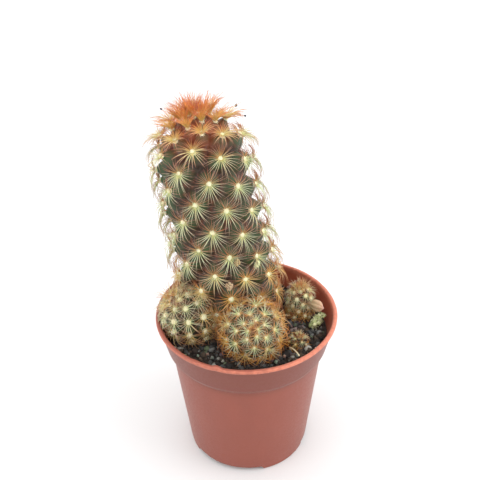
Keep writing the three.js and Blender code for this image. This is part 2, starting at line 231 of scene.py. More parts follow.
STEMS = [
    Stem(
        node="main_stem", angle=111.3, wall_gap=0.8, sink=4.5, lean=8.5, lean_to=180,
        length=72, radius=14.8, widest_at=19.5, foot_share=0.72, taper=0.13, dome=12.5,
        around=360, along=264,
        tubercle=3.3, cell=60.4, young=0.1, grow_in=20, spiral_from=273.5, first_tubercle=0.56,
        spines=32, spine_length=6.7, short=0.93, crown=19, knob=0.86,
        fire=1.0, brown=0.85, gold=0.7, gold_from=0.62, gilt=0.1,
    ),
    Stem(
        node="front_offset", angle=297.6, wall_gap=13.5, sink=-2.3, lean=46, lean_to=272,
        length=16.8, radius=8.1, widest_at=8.2, foot_share=0.5, taper=0, dome=8.6,
        around=220, along=130,
        tubercle=2.0, cell=18.8, young=0.14, grow_in=8.6, spiral_from=122.6, first_tubercle=0.64,
        spines=20, spine_length=6.6, short=0.5, crown=2.5, knob=0.55,
        fire=0.0, brown=0.3, gold=1.0, gold_from=0.42, gilt=0.7,
    ),
    Stem(
        node="left_offset", angle=187.7, wall_gap=4.9, sink=-1.2, lean=34, lean_to=193,
        length=16.4, radius=7.4, widest_at=8, foot_share=0.55, taper=0, dome=8.4,
        around=220, along=130,
        tubercle=2.1, cell=23, young=0.19, grow_in=12.7, spiral_from=157.4, first_tubercle=0.77,
        spines=20, spine_length=5.4, short=0.85, crown=5.5, knob=0.9,
        fire=0.6, brown=0.25, gold=0.55, gold_from=0.5, gilt=0.25,
    ),
    Stem(
        node="right_offset", angle=18.7, wall_gap=3.5, sink=3.3, lean=1.6, lean_to=64,
        length=14, radius=3.5, widest_at=5, foot_share=0.7, taper=0.05, dome=4,
        around=140, along=100,
        tubercle=0.9, cell=6.9, young=0.12, grow_in=5, spiral_from=13, first_tubercle=0.5,
        spines=18, spine_length=3.5, short=0.9, crown=5, knob=0.6,
        fire=0.5, brown=0.35, gold=0.85, gold_from=0.4, gilt=0.6,
    ),
    Stem(
        node="small_offset", angle=330, wall_gap=4.4, sink=2, lean=12, lean_to=300,
        length=6, radius=2.8, widest_at=3, foot_share=0.6, taper=0, dome=3,
        around=110, along=60,
        tubercle=0.7, cell=5, young=0.15, grow_in=4, spiral_from=40, first_tubercle=0.5,
        spines=12, spine_length=2.3, short=0.9, crown=3, knob=0.36,
        fire=0.15, brown=0.6, gold=1.0, gold_from=0.3, gilt=0.6,
    ),
]


def settings(name):
    """One of the panel's groups."""
    return getattr(bpy.context.scene, name)


def polar(angle, radius, height):
    """Points at an angle in radians, a radius and a height, as rows of x, y, z."""
    angle, radius, height = np.broadcast_arrays(angle, radius, height)
    return np.stack([radius * np.cos(angle), radius * np.sin(angle), height], axis=-1)


def smooth_step(low, high, value):
    """0 below low, 1 above high, and an even curve between them."""
    share = np.clip((value - low) / (high - low), 0, 1)
    return share * share * (3 - 2 * share)


def unit(vectors):
    """The same directions with length 1."""
    return vectors / np.linalg.norm(vectors, axis=-1, keepdims=True)


def pot_outside(height):
    """The pot's outer radius at a height: one straight taper for the wall and one for the collar."""
    pot = settings("cactus_pot")
    collar_top = RIM_RADIUS - pot.lip_overhang / MM
    collar_foot = collar_top - pot.collar_taper / MM
    wall_top = collar_foot - pot.step_width / MM
    step = POT_HEIGHT - pot.collar_height / MM
    wall = np.interp(height, [0, step], [pot.base_radius / MM, wall_top])
    collar = np.interp(height, [step, POT_HEIGHT], [collar_foot, collar_top])
    return np.where(np.asarray(height) < step, wall, collar)


def pot_inside(height):
    """The pot's inner radius at a height."""
    return pot_outside(height) - settings("cactus_pot").wall / MM


def soil_level():
    """The soil's mean height."""
    return POT_HEIGHT - settings("cactus_soil").headspace / MM


def stem_radius(stem, height):
    """The radius at the tubercles' tips: it swells from the foot, tapers, and closes as an ellipse."""
    below = np.maximum(0, 1 - height / stem.widest_at)
    above = np.maximum(0, height - stem.widest_at) / (stem.length - stem.widest_at)
    dome = np.clip((height - stem.length + stem.dome) / stem.dome, 0, 1)
    foot = 1 - (1 - stem.foot_share) * below**2
    return stem.radius * foot * (1 - stem.taper * above) * np.sqrt(1 - dome**2)


def meridian(stem, steps):
    """The stem's side from tip to foot, at even steps of the way along it.

    Returns the radius, the height, the outward and the upward part of the normal, and the way from the tip.
    """
    fine = 4000
    height = stem.length * np.cos(np.linspace(0, np.pi / 2, fine + 1)) ** 2
    radius = stem_radius(stem, height)
    way = np.concatenate([[0], np.cumsum(np.hypot(np.diff(radius), np.diff(height)))])
    wanted = np.linspace(0, way[-1], steps + 1)
    out = -np.interp(wanted, way, np.gradient(height, way))
    up = np.interp(wanted, way, np.gradient(radius, way))
    length = np.hypot(out, up)
    return np.interp(wanted, way, radius), np.interp(wanted, way, height), out / length, up / length, wanted


def cell_area(stem, way):
    """The area that a tubercle takes up, which grows from the tip down."""
    age = smooth_step(0, stem.grow_in, way)
    return stem.cell * (stem.young + (1 - stem.young) * age)


def tubercles(stem):
    """Tips, normals, spacing and way down of the tubercles.

    Each is turned by the golden angle from the one above. The count grows down the stem as its skin's area
    over the area of one cell, and a tubercle stands wherever the count passes the next whole number.
    """
    radius, height, out, up, way = meridian(stem, 3000)
    area = np.concatenate([[0], 2 * np.pi * (radius[1:] + radius[:-1]) / 2 * np.diff(way)])
    count = np.cumsum(area / cell_area(stem, way))
    wanted = np.arange(stem.first_tubercle, count[-1])
    places = np.interp(wanted, count, way)
    angle = np.radians(stem.spiral_from) - GOLDEN_ANGLE * np.arange(len(wanted))
    tips = polar(angle, np.interp(places, way, radius), np.interp(places, way, height))
    normals = unit(polar(angle, np.interp(places, way, out), np.interp(places, way, up)))
    return tips, normals, np.sqrt(cell_area(stem, places)), places


def stem_frame(stem):
    """The turn and the foot that stand a stem in the pot, as a 3 by 3 matrix and a point."""
    distance = pot_inside(soil_level()) - stem.wall_gap - stem.radius
    foot = polar(np.radians(stem.angle), distance, soil_level())
    lean = np.radians(stem.lean)
    axis = polar(np.radians(stem.lean_to), np.sin(lean), np.cos(lean))
    turn = Vector((0, 0, 1)).rotation_difference(Vector(axis)).to_matrix()
    return np.array(turn), foot - stem.sink * axis


def stand(stem, points):
    """Points of a stem's own frame, placed in the pot."""
    turn, foot = stem_frame(stem)
    return points @ turn.T + foot


# ---------------------------------------------------------------- surfaces worked out as whole arrays


def closed_rings(first, rings, last):
    """A closed skin: rows of points between two poles.

    It faces outwards when the rows run down and turn anticlockwise.
    """
    rows, columns, _ = rings.shape
    points = np.concatenate([[first], rings.reshape(-1, 3), [last]])
    number = 1 + np.arange(rows * columns).reshape(rows, columns)
    after = np.roll(number, -1, axis=1)
    quads = np.stack([number[:-1], number[1:], after[1:], after[:-1]], axis=-1).reshape(-1, 4)
    top = np.stack([np.zeros(columns, int), number[0], after[0]], axis=-1)
    bottom = np.stack([np.full(columns, len(points) - 1), after[-1], number[-1]], axis=-1)
    return points, quads, np.concatenate([top, bottom])


def tubes(paths, radii, sides, hint):
    """Closed tubes along many paths at once: at each joint of a path, a ring of its radius, square to it.

    paths is (tubes, joints, 3) and radii is (tubes, joints). hint is a direction for each tube, not along
    it, that its rings start from.
    """
    along = unit(np.gradient(paths, axis=1))
    across = unit(hint[:, None] - np.sum(hint[:, None] * along, axis=-1, keepdims=True) * along)
    other = np.cross(along, across)
    turn = np.linspace(0, 2 * np.pi, sides, endpoint=False)
    round_it = across[:, :, None] * np.cos(turn)[:, None] + other[:, :, None] * np.sin(turn)[:, None]
    points = paths[:, :, None] + radii[:, :, None, None] * round_it
    number = np.arange(points[..., 0].size).reshape(points.shape[:3])
    after = np.roll(number, -1, axis=2)
    walls = np.stack([number[:, :-1], after[:, :-1], after[:, 1:], number[:, 1:]], axis=-1).reshape(-1, 4)
    ends = np.concatenate([number[:, 0, ::-1], number[:, -1]])
    return points.reshape(-1, 3), walls, ends


def hash_noise(points, cell, seed):
    """Smooth noise between -1 and 1: random values at the corners of a lattice, blended between them.

    cell is the lattice's spacing. Each corner's whole numbers say which value of the table it has.
    """
    table = np.random.default_rng(seed).uniform(-1, 1, NOISE_TABLE)
    scaled = points / cell + NOISE_ORIGIN
    corner = np.floor(scaled).astype(int)
    share = scaled - corner
    share = share * share * (3 - 2 * share)
    total = np.zeros(points.shape[:-1])
    for step in product((0, 1), repeat=3):
        key = ((corner + step) * NOISE_STRIDES).sum(axis=-1)
        weight = np.abs(1 - np.array(step) - share)
        total += table[key % NOISE_TABLE] * (weight[..., 0] * weight[..., 1]) * weight[..., 2]
    return total


def pebble(size, bluntness, lumps, cell, seed, rows=14, columns=20):
    """A lump of stone or bark: a ball pushed in and out by noise.

    Its sections are round where bluntness is 1, and squared off where it is less.
    """
    down = np.linspace(0, np.pi, rows + 2)[1:-1, None]
    turn = np.linspace(0, 2 * np.pi, columns, endpoint=False)[None]

    def blunt(value):
        return np.sign(value) * np.abs(value) ** bluntness

    ball = np.stack([blunt(np.sin(down)) * blunt(np.cos(turn)), blunt(np.sin(down)) * blunt(np.sin(turn)),
                     blunt(np.cos(down)) + 0 * turn], axis=-1)
    points, quads, fans = closed_rings(np.array([0, 0, 1.0]), ball, np.array([0, 0, -1.0]))
    points = points * np.array(size)
    coarse, fine = hash_noise(points, cell, seed), hash_noise(points, cell * 0.45, seed + 1)
    push = 1 + lumps * coarse + 0.4 * lumps * fine
    return points * push[:, None], quads, fans


def repeated(faces, copies, size):
    """A shape's faces, repeated for copies of its points that follow each other, with size in each."""
    return (faces + (np.arange(copies) * size)[:, None, None]).reshape(-1, faces.shape[1])


def many_pebbles(places, sizes, turns, shapes, seed):
    """Hundreds of small crumbs: a few lumpy shapes of 48 triangles, each scaled, turned and put in place."""
    rng = np.random.default_rng(seed)
    kinds = [pebble((1, 0.85, 0.7), 0.8, 0.5, 0.9, seed + k, rows=4, columns=6) for k in range(shapes)]
    stock = np.stack([kind[0] for kind in kinds])
    quads, fans = kinds[0][1:]
    chosen = stock[rng.integers(0, shapes, len(places))]
    points = np.einsum("nij,nkj->nki", turns, chosen * sizes[:, None, None]) + places[:, None]
    copies, size = points.shape[:2]
    return points.reshape(-1, 3), repeated(quads, copies, size), repeated(fans, copies, size)


def random_turns(rng, count):
    """Turns about random axes, as 3 by 3 matrices made from random quaternions."""
    w, x, y, z = unit(rng.normal(size=(count, 4))).T
    rows = [
        [1 - 2 * (y * y + z * z), 2 * (x * y - z * w), 2 * (x * z + y * w)],
        [2 * (x * y + z * w), 1 - 2 * (x * x + z * z), 2 * (y * z - x * w)],
        [2 * (x * z - y * w), 2 * (y * z + x * w), 1 - 2 * (x * x + y * y)],
    ]
    return np.moveaxis(np.array(rows), 2, 0)


def put(name, points, quads, triangles, material, slot_name, nodes=(), **attributes):
    """Makes a piece from whole arrays: points in millimetres, and faces as rows of point numbers.

    An attribute with four values a point is a colour, and one with a single value a point is a number.
    """
    mesh = bpy.data.meshes.new(name)
    quads, triangles = np.asarray(quads, int).reshape(-1, 4), np.asarray(triangles, int).reshape(-1, 3)
    corners = np.concatenate([quads.ravel(), triangles.ravel()])
    sizes = np.concatenate([np.full(len(quads), 4), np.full(len(triangles), 3)])
    mesh.vertices.add(len(points))
    mesh.vertices.foreach_set("co", (points * MM).astype(np.float32).ravel())
    mesh.loops.add(len(corners))
    mesh.loops.foreach_set("vertex_index", corners.astype(np.int32))
    mesh.polygons.add(len(sizes))
    mesh.polygons.foreach_set("loop_start", np.concatenate([[0], np.cumsum(sizes)[:-1]]).astype(np.int32))
    mesh.polygons.foreach_set("use_smooth", np.ones(len(sizes), bool))
    for title, values in attributes.items():
        values = np.asarray(values, np.float32)
        if values.ndim == 2:
            mesh.attributes.new(title, "FLOAT_COLOR", "POINT").data.foreach_set("color", values.ravel())
        else:
            mesh.attributes.new(title, "FLOAT", "POINT").data.foreach_set("value", values)
    mesh.update(calc_edges=True)
    mesh.validate()
    mesh.materials.append(material)
    piece = bpy.data.objects.new(name, mesh)
    bpy.context.scene.collection.objects.link(piece)
    declare(piece, nodes)
    return piece


def end_fans(ends):
    """The ends of tubes, as fans of triangles."""
    corners = range(1, ends.shape[1] - 1)
    return np.concatenate([np.stack([ends[:, 0], ends[:, k], ends[:, k + 1]], axis=-1) for k in corners])


def put_tubes(name, strands, material, slot_name, nodes=(), **attributes):
    """Makes a piece of tubes. Ends with four corners are quads, and others are fans of triangles."""
    points, walls, ends = strands
    if ends.shape[1] == 4:
        quads, triangles = np.concatenate([walls, ends]), []
    else:
        quads, triangles = walls, end_fans(ends)
    return put(name, points, quads, triangles, material, slot_name, nodes, **attributes)


def declare(piece, nodes):
    """Hangs the piece on the root body, and hides the CAD nodes that it stands for."""
    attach(piece, "root")
    if nodes:
        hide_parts(*nodes)


def colours(rgb, count=None):
    """Rows of red, green and blue with an alpha of 1 added, repeated if a count is given."""
    rgb = np.asarray(rgb, float)
    if count is not None:
        rgb = np.tile(rgb, (count, 1))
    return np.concatenate([rgb, np.ones(rgb.shape[:-1] + (1,))], axis=-1)


def blend_palette(stops, palette, share):
    """Colours along a palette at shares between 0 and 1."""
    palette = np.asarray(palette)
    return np.stack([np.interp(share, stops, palette[:, channel]) for channel in range(3)], axis=-1)


# ---------------------------------------------------------------- materials


class Shader:
    """A material's node tree, with short ways to add and join nodes."""

    def __init__(self, name, **sockets):
        self.material = bpy.data.materials.new(name)
        self.material.use_nodes = True
        self.tree = self.material.node_tree
        self.surface = self.tree.nodes["Principled BSDF"]
        for title, value in sockets.items():
            self.surface.inputs[title.replace("_", " ")].default_value = value

    def node(self, kind, links=None, **values):
        """Adds a node. values set its properties, or its inputs where it has no such property."""
        node = self.tree.nodes.new(kind)
        for title, value in values.items():
            if hasattr(node, title):
                setattr(node, title, value)
            else:
                node.inputs[title.replace("_", " ")].default_value = value
        for title, source in (links or {}).items():
            self.tree.links.new(source, node.inputs[title])
        return node

    def place(self, scale=(1, 1, 1)):
        """The object's own coordinates, in metres, stretched."""
        where = self.node("ShaderNodeTexCoord").outputs["Object"]
        return self.node("ShaderNodeMapping", {"Vector": where}, Scale=scale).outputs["Vector"]

    def noise(self, scale, detail=3.0, roughness=0.55, where=None):
        """Noise between 0 and 1, with scale cells in a metre."""
        links = {"Vector": where or self.place()}
        node = self.node("ShaderNodeTexNoise", links, Scale=scale, Detail=detail, Roughness=roughness)
        return node.outputs["Fac"]

    def cells(self, scale):
        """Distance to the nearest of many random points, with about scale of them in a metre."""
        node = self.node("ShaderNodeTexVoronoi", {"Vector": self.place()}, Scale=scale)
        return node.outputs["Distance"]

    def ramp(self, source, *stops):
        """A colour ramp of (position, colour) stops."""
        node = self.node("ShaderNodeValToRGB", {"Fac": source})
        elements = node.color_ramp.elements
        while len(elements) < len(stops):
            elements.new(0.5)
        for element, (position, colour) in zip(elements, stops):
            element.position = position
            element.color = tuple(colour) + (1,) if len(colour) == 3 else colour
        return node.outputs["Color"]

    def range(self, source, low, high, to_low, to_high):
        """Stretches values between low and high to a new range, and clamps them to it."""
        node = self.node("ShaderNodeMapRange", {"Value": source})
        ends = {"From Min": low, "From Max": high, "To Min": to_low, "To Max": to_high}
        for title, value in ends.items():
            node.inputs[title].default_value = value
        return node.outputs["Result"]

    def mix(self, share, one, other, blend="MIX"):
        """Mixes two colours, each a socket or a colour."""
        node = self.node("ShaderNodeMix", data_type="RGBA", blend_type=blend)
        for index, value in ((0, share), (6, one), (7, other)):
            if isinstance(value, bpy.types.NodeSocket):
                self.tree.links.new(value, node.inputs[index])
            elif index == 0:
                node.inputs[index].default_value = value
            else:
                node.inputs[index].default_value = tuple(value)[:3] + (1,)
        return node.outputs[2]

    def maths(self, operation, one, other):
        """One sum on two numbers, each a socket or a number."""
        node = self.node("ShaderNodeMath", operation=operation)
        for index, value in enumerate((one, other)):
            if isinstance(value, bpy.types.NodeSocket):
                self.tree.links.new(value, node.inputs[index])
            else:
                node.inputs[index].default_value = value
        return node.outputs["Value"]

    def attribute(self, name, output="Fac"):
        """A value or colour that the mesh carries at its points."""
        return self.node("ShaderNodeAttribute", attribute_name=name).outputs[output]

    def bump(self, height, distance, strength):
        """Turns a height pattern into a normal. distance is in metres."""
        node = self.node("ShaderNodeBump", {"Height": height}, Strength=strength, Distance=distance)
        return node.outputs["Normal"]

    def connect(self, **sources):
        """Joins sockets to the surface's inputs."""
        for title, source in sources.items():
            self.tree.links.new(source, self.surface.inputs[title.replace("_", " ")])
        return self.material


def plastic_material():
    """Moulded plastic: a soft sheen, faint flow streaks, a painted lip highlight, a darker collar with
    painted shade and a painted glow inside.
    """
    pot = settings("cactus_pot")
    shader = Shader(
        "terracotta plastic",
        Subsurface_Weight=0.12, Subsurface_Scale=0.0012, Subsurface_Radius=(1.0, 0.35, 0.2),
        Sheen_Weight=0.06, Sheen_Roughness=0.3, Specular_IOR_Level=0.34,
    )
    streaks = shader.noise(240, 4, where=shader.place((1, 1, 0.18)))
    mottle = shader.noise(90, 3)
    wall = shader.mix(shader.range(streaks, 0.3, 0.75, 0, 0.35), pot.colour, np.array(pot.colour) * 1.22)
    wall = shader.mix(shader.range(mottle, 0.35, 0.7, 0, 0.25), wall, np.array(pot.colour) * 0.82)
    # The collar is painted darker, with painted shade fading in over the step's shoulder below it.
    wall = shader.mix(shader.attribute("collar"), wall, np.array(pot.colour) * 0.74)
    # The inside is painted a deeper orange, for light through the thin plastic.
    wall = shader.mix(shader.attribute("inside"), wall, pot.inside_glow_colour)
    # Painted highlight on the lip, strongest at the right and along its outer edge, broken up by noise.
    patchiness = shader.range(shader.noise(900, 4), 0.25, 0.6, 0.55, 1)
    lip_highlight_share = shader.maths("MULTIPLY", shader.attribute("lip_highlight"), patchiness)
    colour = shader.mix(lip_highlight_share, wall, pot.lip_highlight_colour)
    gloss = shader.range(shader.noise(1400, 4), 0.3, 0.7, 0.36, 0.5)
    grain = shader.bump(shader.noise(5200, 3), 0.00003, 0.5)
    return shader.connect(Base_Color=colour, Roughness=gloss, Normal=grain)


def soil_material():
    """Damp peat: near black, with brown and grey patches and a crumbly grain."""
    soil = settings("cactus_soil")
    shader = Shader("peat soil", Roughness=0.95)
    dark = np.array(soil.colour)
    patches = shader.ramp(shader.noise(700, 5, 0.65), (0.3, dark * 0.5), (0.5, dark), (0.72, dark * 2.4))
    colour = shader.mix(shader.range(shader.cells(2600), 0.0, 0.35, 0.35, 0), patches, dark * 4.5)
    grain = shader.bump(shader.noise(3200, 4, 0.7), 0.00035, 0.9)
    return shader.connect(Base_Color=colour, Normal=grain)


def tinted_material(name, roughness, grain_scale, grain_depth, variation=0.18, **sockets):
    """A dry matte surface whose colour is carried by the mesh, mottled and roughened by noise."""
    shader = Shader(name, Roughness=roughness, **sockets)
    tint = shader.attribute("tint", "Color")
    mottle = shader.range(shader.noise(grain_scale, 4, 0.6), 0.3, 0.7, 1 - variation, 1 + variation)
    colour = shader.mix(1.0, tint, mottle, "MULTIPLY")
    grain = shader.bump(shader.noise(grain_scale * 2.2, 3), grain_depth, 0.8)
    return shader.connect(Base_Color=colour, Normal=grain)


def flesh_material():
    """Waxy green skin with paler patches and dots. Down in the axils it is brown, mauve and rusty, and
    darker there as painted shade in the hollows.
    """
    plant = settings("cactus_plant")
    flesh, axil = np.array(plant.flesh), np.array(plant.axil)
    shader = Shader(
        "cactus skin", Coat_Weight=0.06, Coat_Roughness=0.4,
        Subsurface_Weight=0.15, Subsurface_Scale=0.001, Subsurface_Radius=(0.5, 1.0, 0.3),
    )
    pale = flesh * np.array([1.35, 1.3, 1.2])
    patches = shader.ramp(shader.noise(330, 4), (0.32, flesh * 0.72), (0.5, flesh), (0.7, pale))
    depth = shader.attribute("axil")
    uneven = shader.maths("ADD", depth, shader.range(shader.noise(600, 3), 0.3, 0.7, -0.16, 0.16))
    valley = shader.mix(shader.attribute("young"), axil, plant.young_axil)
    mauve = shader.range(shader.noise(480, 2), 0.52, 0.68, 0, 0.55)
    valley = shader.mix(mauve, valley, paint(100, 84, 80))
    rusty = shader.range(shader.noise(410, 3, where=shader.place((1.3, 0.8, 1))), 0.54, 0.66, 0, 0.6)
    valley = shader.mix(rusty, valley, paint(112, 58, 34))
    flushed = shader.maths("MULTIPLY", shader.attribute("young"), 0.5)
    patches = shader.mix(flushed, patches, plant.young_axil)
    # Deeper between the tubercles the skin turns to the axils' dark colours: partly their own, partly
    # painted shade in the hollows.
    colour = shader.mix(shader.range(uneven, 0.38, 0.85, 0, 0.95), patches, valley)
    dots = shader.range(shader.cells(5200), 0.0, 0.16, 0.22, 0)
    colour = shader.mix(dots, colour, flesh * 2.6)
    pores = shader.bump(shader.noise(6500, 3), 0.00005, 0.5)
    gloss = shader.range(shader.noise(900, 3), 0.3, 0.7, 0.42, 0.6)
    return shader.connect(Base_Color=colour, Roughness=gloss, Normal=pores)


def spine_material():
    """Horn-like spines that let a little light through. The mesh carries the colour along each one."""
    shader = Shader(
        "spine horn", Roughness=0.38,
        Subsurface_Weight=0.25, Subsurface_Scale=0.0004, Subsurface_Radius=(1.0, 0.7, 0.4),
    )
    return shader.connect(Base_Color=shader.attribute("tint", "Color"))


def wool_material():
    """Felted wool with a soft edge."""
    wool = np.array(settings("cactus_plant").wool)
    shader = Shader(
        "areole wool", Roughness=1.0, Sheen_Weight=0.2, Sheen_Roughness=0.4,
        Subsurface_Weight=0.3, Subsurface_Scale=0.0006,
    )
    colour = shader.ramp(shader.noise(2600, 3), (0.3, wool * np.array([0.95, 0.9, 0.72])), (0.6, wool))
    felt = shader.bump(shader.noise(9000, 3), 0.00012, 0.9)
    return shader.connect(Base_Color=colour, Normal=felt)


# ---------------------------------------------------------------- the pot


def arc(centre, radius, start, end, steps):
    """Points on a round corner of a section, between two angles in degrees."""
    turn = np.radians(np.linspace(start, end, steps))
    return np.stack([centre[0] + radius * np.cos(turn), centre[1] + radius * np.sin(turn)], axis=-1)


def straight(start, end, steps):
    """Points on a straight stretch of a section, without its ends."""
    share = np.linspace(0, 1, steps + 2)[1:-1, None]
    return np.array(start) * (1 - share) + np.array(end) * share


def shoulder(high, low, steps):
    """A smooth curve on the pot's outside between two heights, with the wall's own slope at both ends."""
    height, share = np.linspace(high, low, steps), np.linspace(0, 1, steps)
    reach, step = low - high, 0.1
    slope_high = (pot_outside(high + step) - pot_outside(high)) / step * reach
    slope_low = (pot_outside(low) - pot_outside(low - step)) / step * reach
    bends = slope_high * share * (1 - share) ** 2 - slope_low * share**2 * (1 - share)
    radius = pot_outside(high) + (pot_outside(low) - pot_outside(high)) * smooth_step(0, 1, share) + bends
    return np.stack([radius, height], axis=-1)


def pot_section():
    """The pot's section: out over the floor, up the inside, over the lip, down the outside and under."""
    pot = settings("cactus_pot")
    wall, lip = pot.wall / MM, pot.lip_width / MM
    rounding, foot = pot.base_rounding / MM, pot.foot_height / MM
    floor = foot + 1.2 * wall
    step = POT_HEIGHT - pot.collar_height / MM
    lip_foot = POT_HEIGHT - pot.lip_height / MM
    soft = lip / 2
    floor_corner, step_bend, bead, fillet, foot_corner = 1.2, 0.5, 0.22, 0.2, 0.15
    fillet_at, collar_from = lip_foot - 0.25, lip_foot - 0.4
    shoulder_top, shoulder_foot = step + 1.3, step - 1.5
    inside_foot = pot_inside(floor)
    foot_inside = pot.base_radius / MM - pot.foot_width / MM
    base = pot_outside(0.0) - rounding
    lean = np.degrees(np.arctan2(pot_outside(1.0) - pot_outside(0.0), 1.0))
    return np.concatenate([
        straight((0, floor), (inside_foot - floor_corner, floor), 14),
        arc((inside_foot - floor_corner, floor + floor_corner), floor_corner, -90, 0, 8),
        straight((inside_foot, floor + floor_corner), (pot_inside(step - wall), step - wall), 16),
        arc((pot_inside(step - wall) + step_bend, step - wall), step_bend, 180, 130, 4),
        arc((pot_inside(step + wall) - step_bend, step + wall), step_bend, -50, 0, 4),
        straight((pot_inside(step + wall), step + wall), (RIM_RADIUS - lip, POT_HEIGHT - 2 * soft), 12),
        arc((RIM_RADIUS - soft, POT_HEIGHT - soft), soft, 180, 0, 15),
        arc((RIM_RADIUS - bead, lip_foot + bead), bead, 0, -80, 5),
        arc((pot_outside(fillet_at) + fillet, fillet_at), fillet, 100, 175, 4),
        straight((pot_outside(collar_from), collar_from), (pot_outside(shoulder_top), shoulder_top), 8),
        shoulder(shoulder_top, shoulder_foot, 24),
        straight((pot_outside(shoulder_foot), shoulder_foot), (pot_outside(rounding), rounding), 26),
        arc((base, rounding), rounding, lean, -90, 12),
        straight((base, 0), (foot_inside, 0), 3),
        arc((foot_inside + foot_corner, foot_corner), foot_corner, 270, 180, 4),
        straight((foot_inside, foot_corner), (foot_inside, foot), 3),
        straight((foot_inside, foot), (0, foot), 12),
    ])


def foot_gaps(turn):
    """1 where the foot ring has a gap and 0 where it stands, with a short slope between them."""
    pot = settings("cactus_pot")
    spacing, slope = 2 * np.pi / FOOT_GAPS, 0.02
    from_middle = np.abs((turn - pot.first_notch_at + spacing / 2) % spacing - spacing / 2)
    return smooth_step(pot.notch_angle / 2 + slope, pot.notch_angle / 2 - slope, from_middle)


def lip_waver(turn):
    """How far the lip stands out and up at each angle.

    It wavers a little. At the front it is ragged and has two burrs, as a worn mould leaves it.
    """
    sharp_burr_at, broad_burr_at, ragged_at = np.radians([252, 244, 268])
    on_rim = polar(turn, RIM_RADIUS, 0.0)
    sharp_burr = smooth_step(0.06, 0.02, np.abs(turn - sharp_burr_at))
    broad_burr = smooth_step(0.2, 0.12, np.abs(turn - broad_burr_at))
    torn = 0.5 + 0.5 * hash_noise(on_rim, 1.1, 6)
    ragged = smooth_step(0.75, 0.45, np.abs(turn - ragged_at)) * torn
    out = 0.06 * hash_noise(on_rim, 3.0, 5) + 0.35 * ragged
    return out, 0.8 * out + 0.35 * (1.3 * sharp_burr + 0.5 * broad_burr)


def pot_surface(columns=300):
    """The section turned about the pot's axis. The foot ring is pushed up where it has a gap."""
    section = pot_section()
    turn = np.linspace(0, 2 * np.pi, columns, endpoint=False)
    rings = polar(turn[None], section[:, :1], section[:, 1:])
    foot = settings("cactus_pot").foot_height / MM
    lowest = foot_gaps(turn)[None] * (foot - 0.03) + 0 * rings[..., 2]
    rings[..., 2] = np.maximum(rings[..., 2], np.where(section[:, None, 1] < foot, lowest, 0))
    near_lip = smooth_step(POT_HEIGHT - 1.6, POT_HEIGHT - 0.2, rings[..., 2])
    out, up = lip_waver(turn)
    rings[..., :2] *= (1 + near_lip * out[None] / RIM_RADIUS)[..., None]
    rings[..., 2] += near_lip * up[None]
    return closed_rings((0, 0, section[0, 1]), rings, (0, 0, section[-1, 1]))


def pot_finish(points):
    """How far each point has the inside's colour, the lip's painted highlight and the darker collar, from 0
    to 1.

    The painted highlight on the lip is strongest at the right and along its outer edge. The inside's deeper
    orange is painted light through the thin plastic, and the collar's darkening fades in over the step's
    shoulder as painted shade.
    """
    pot = settings("cactus_pot")
    height = points[:, 2]
    beyond_rim = np.hypot(points[:, 0], points[:, 1]) - RIM_RADIUS
    depth = (pot_outside(height) - np.hypot(points[:, 0], points[:, 1])) / (pot.wall / MM)
    # Where the inside's painted deeper orange, for light through the plastic, goes.
    inside = smooth_step(0.35, 0.65, depth) * (height < POT_HEIGHT - 0.9)
    inside = np.where(height <= pot.foot_height / MM + 0.01, 0, inside)
    on_lip = smooth_step(POT_HEIGHT - 1.3, POT_HEIGHT - 0.8, height) * smooth_step(-2.0, -1.2, beyond_rim)
    # The lip's painted highlight is strongest at the right, the side the key light shines from, and along
    # its outer edge.
    lit_at_right = smooth_step(-0.1, 0.8, points[:, 0] / RIM_RADIUS)
    edge = smooth_step(-0.24, -0.04, beyond_rim) * (0.6 + 0.4 * hash_noise(points, 0.7, 8))
    lip_highlight = on_lip * np.clip(0.12 + 0.8 * lit_at_right + 0.8 * edge, 0, 1)
    step = POT_HEIGHT - pot.collar_height / MM
    # Darker from 4 mm below the step up to the lip: painted shade over the shoulder and a darker collar.
    collar = smooth_step(step - 4.0, step + 0.5, height) * (1 - on_lip)
    return {"inside": inside, "lip_highlight": lip_highlight, "collar": collar}


def drill(piece, radius, circle, count, depth):
    """Cuts round holes through the floor with a boolean, and leaves the piece a plain mesh."""
    turn = np.arange(count) * 2 * np.pi / count
    round_it = np.linspace(0, 2 * np.pi, 32, endpoint=False)
    ring = polar(round_it, radius, np.array([[depth], [-1.0]]))
    rings = ring + polar(turn, circle, 0.0)[:, None, None]
    parts = [closed_rings(hole[0].mean(axis=0), hole, hole[1].mean(axis=0)) for hole in rings]
    points = np.concatenate([part[0] for part in parts])
    quads, fans = (repeated(faces, count, len(parts[0][0])) for faces in parts[0][1:])
    mesh = bpy.data.meshes.new("drill")
    mesh.from_pydata((points * MM).tolist(), [], quads.tolist() + fans.tolist())
    cutter = bpy.data.objects.new("drill", mesh)
    bpy.context.scene.collection.objects.link(cutter)
    cut = piece.modifiers.new("drain holes", "BOOLEAN")
    cut.operation, cut.solver, cut.object = "DIFFERENCE", "EXACT", cutter
    depsgraph = bpy.context.evaluated_depsgraph_get()
    whole = piece.data
    piece.data = bpy.data.meshes.new_from_object(piece.evaluated_get(depsgraph))
    piece.modifiers.clear()
    piece.data.name = whole.name
    bpy.data.meshes.remove(whole)
    bpy.data.objects.remove(cutter)
    bpy.data.meshes.remove(mesh)


class CACTUS_OT_pot(bpy.types.Operator):
    """Build the moulded nursery pot, with its lip, collar, foot ring and drain holes"""

    bl_idname = "cactus.pot"
    bl_label = "Pot"

    def execute(self, context):
        pot = settings("cactus_pot")
        shell = pot_surface()
        finish = pot_finish(shell[0])
        piece = put("pot_shell", *shell, plastic_material(), "terracotta_plastic", ("pot",), **finish)
        above_floor = pot.foot_height / MM + pot.wall / MM * 2
        drill(piece, pot.hole_radius / MM, pot.hole_circle / MM, DRAIN_HOLES, above_floor)
        return {"FINISHED"}


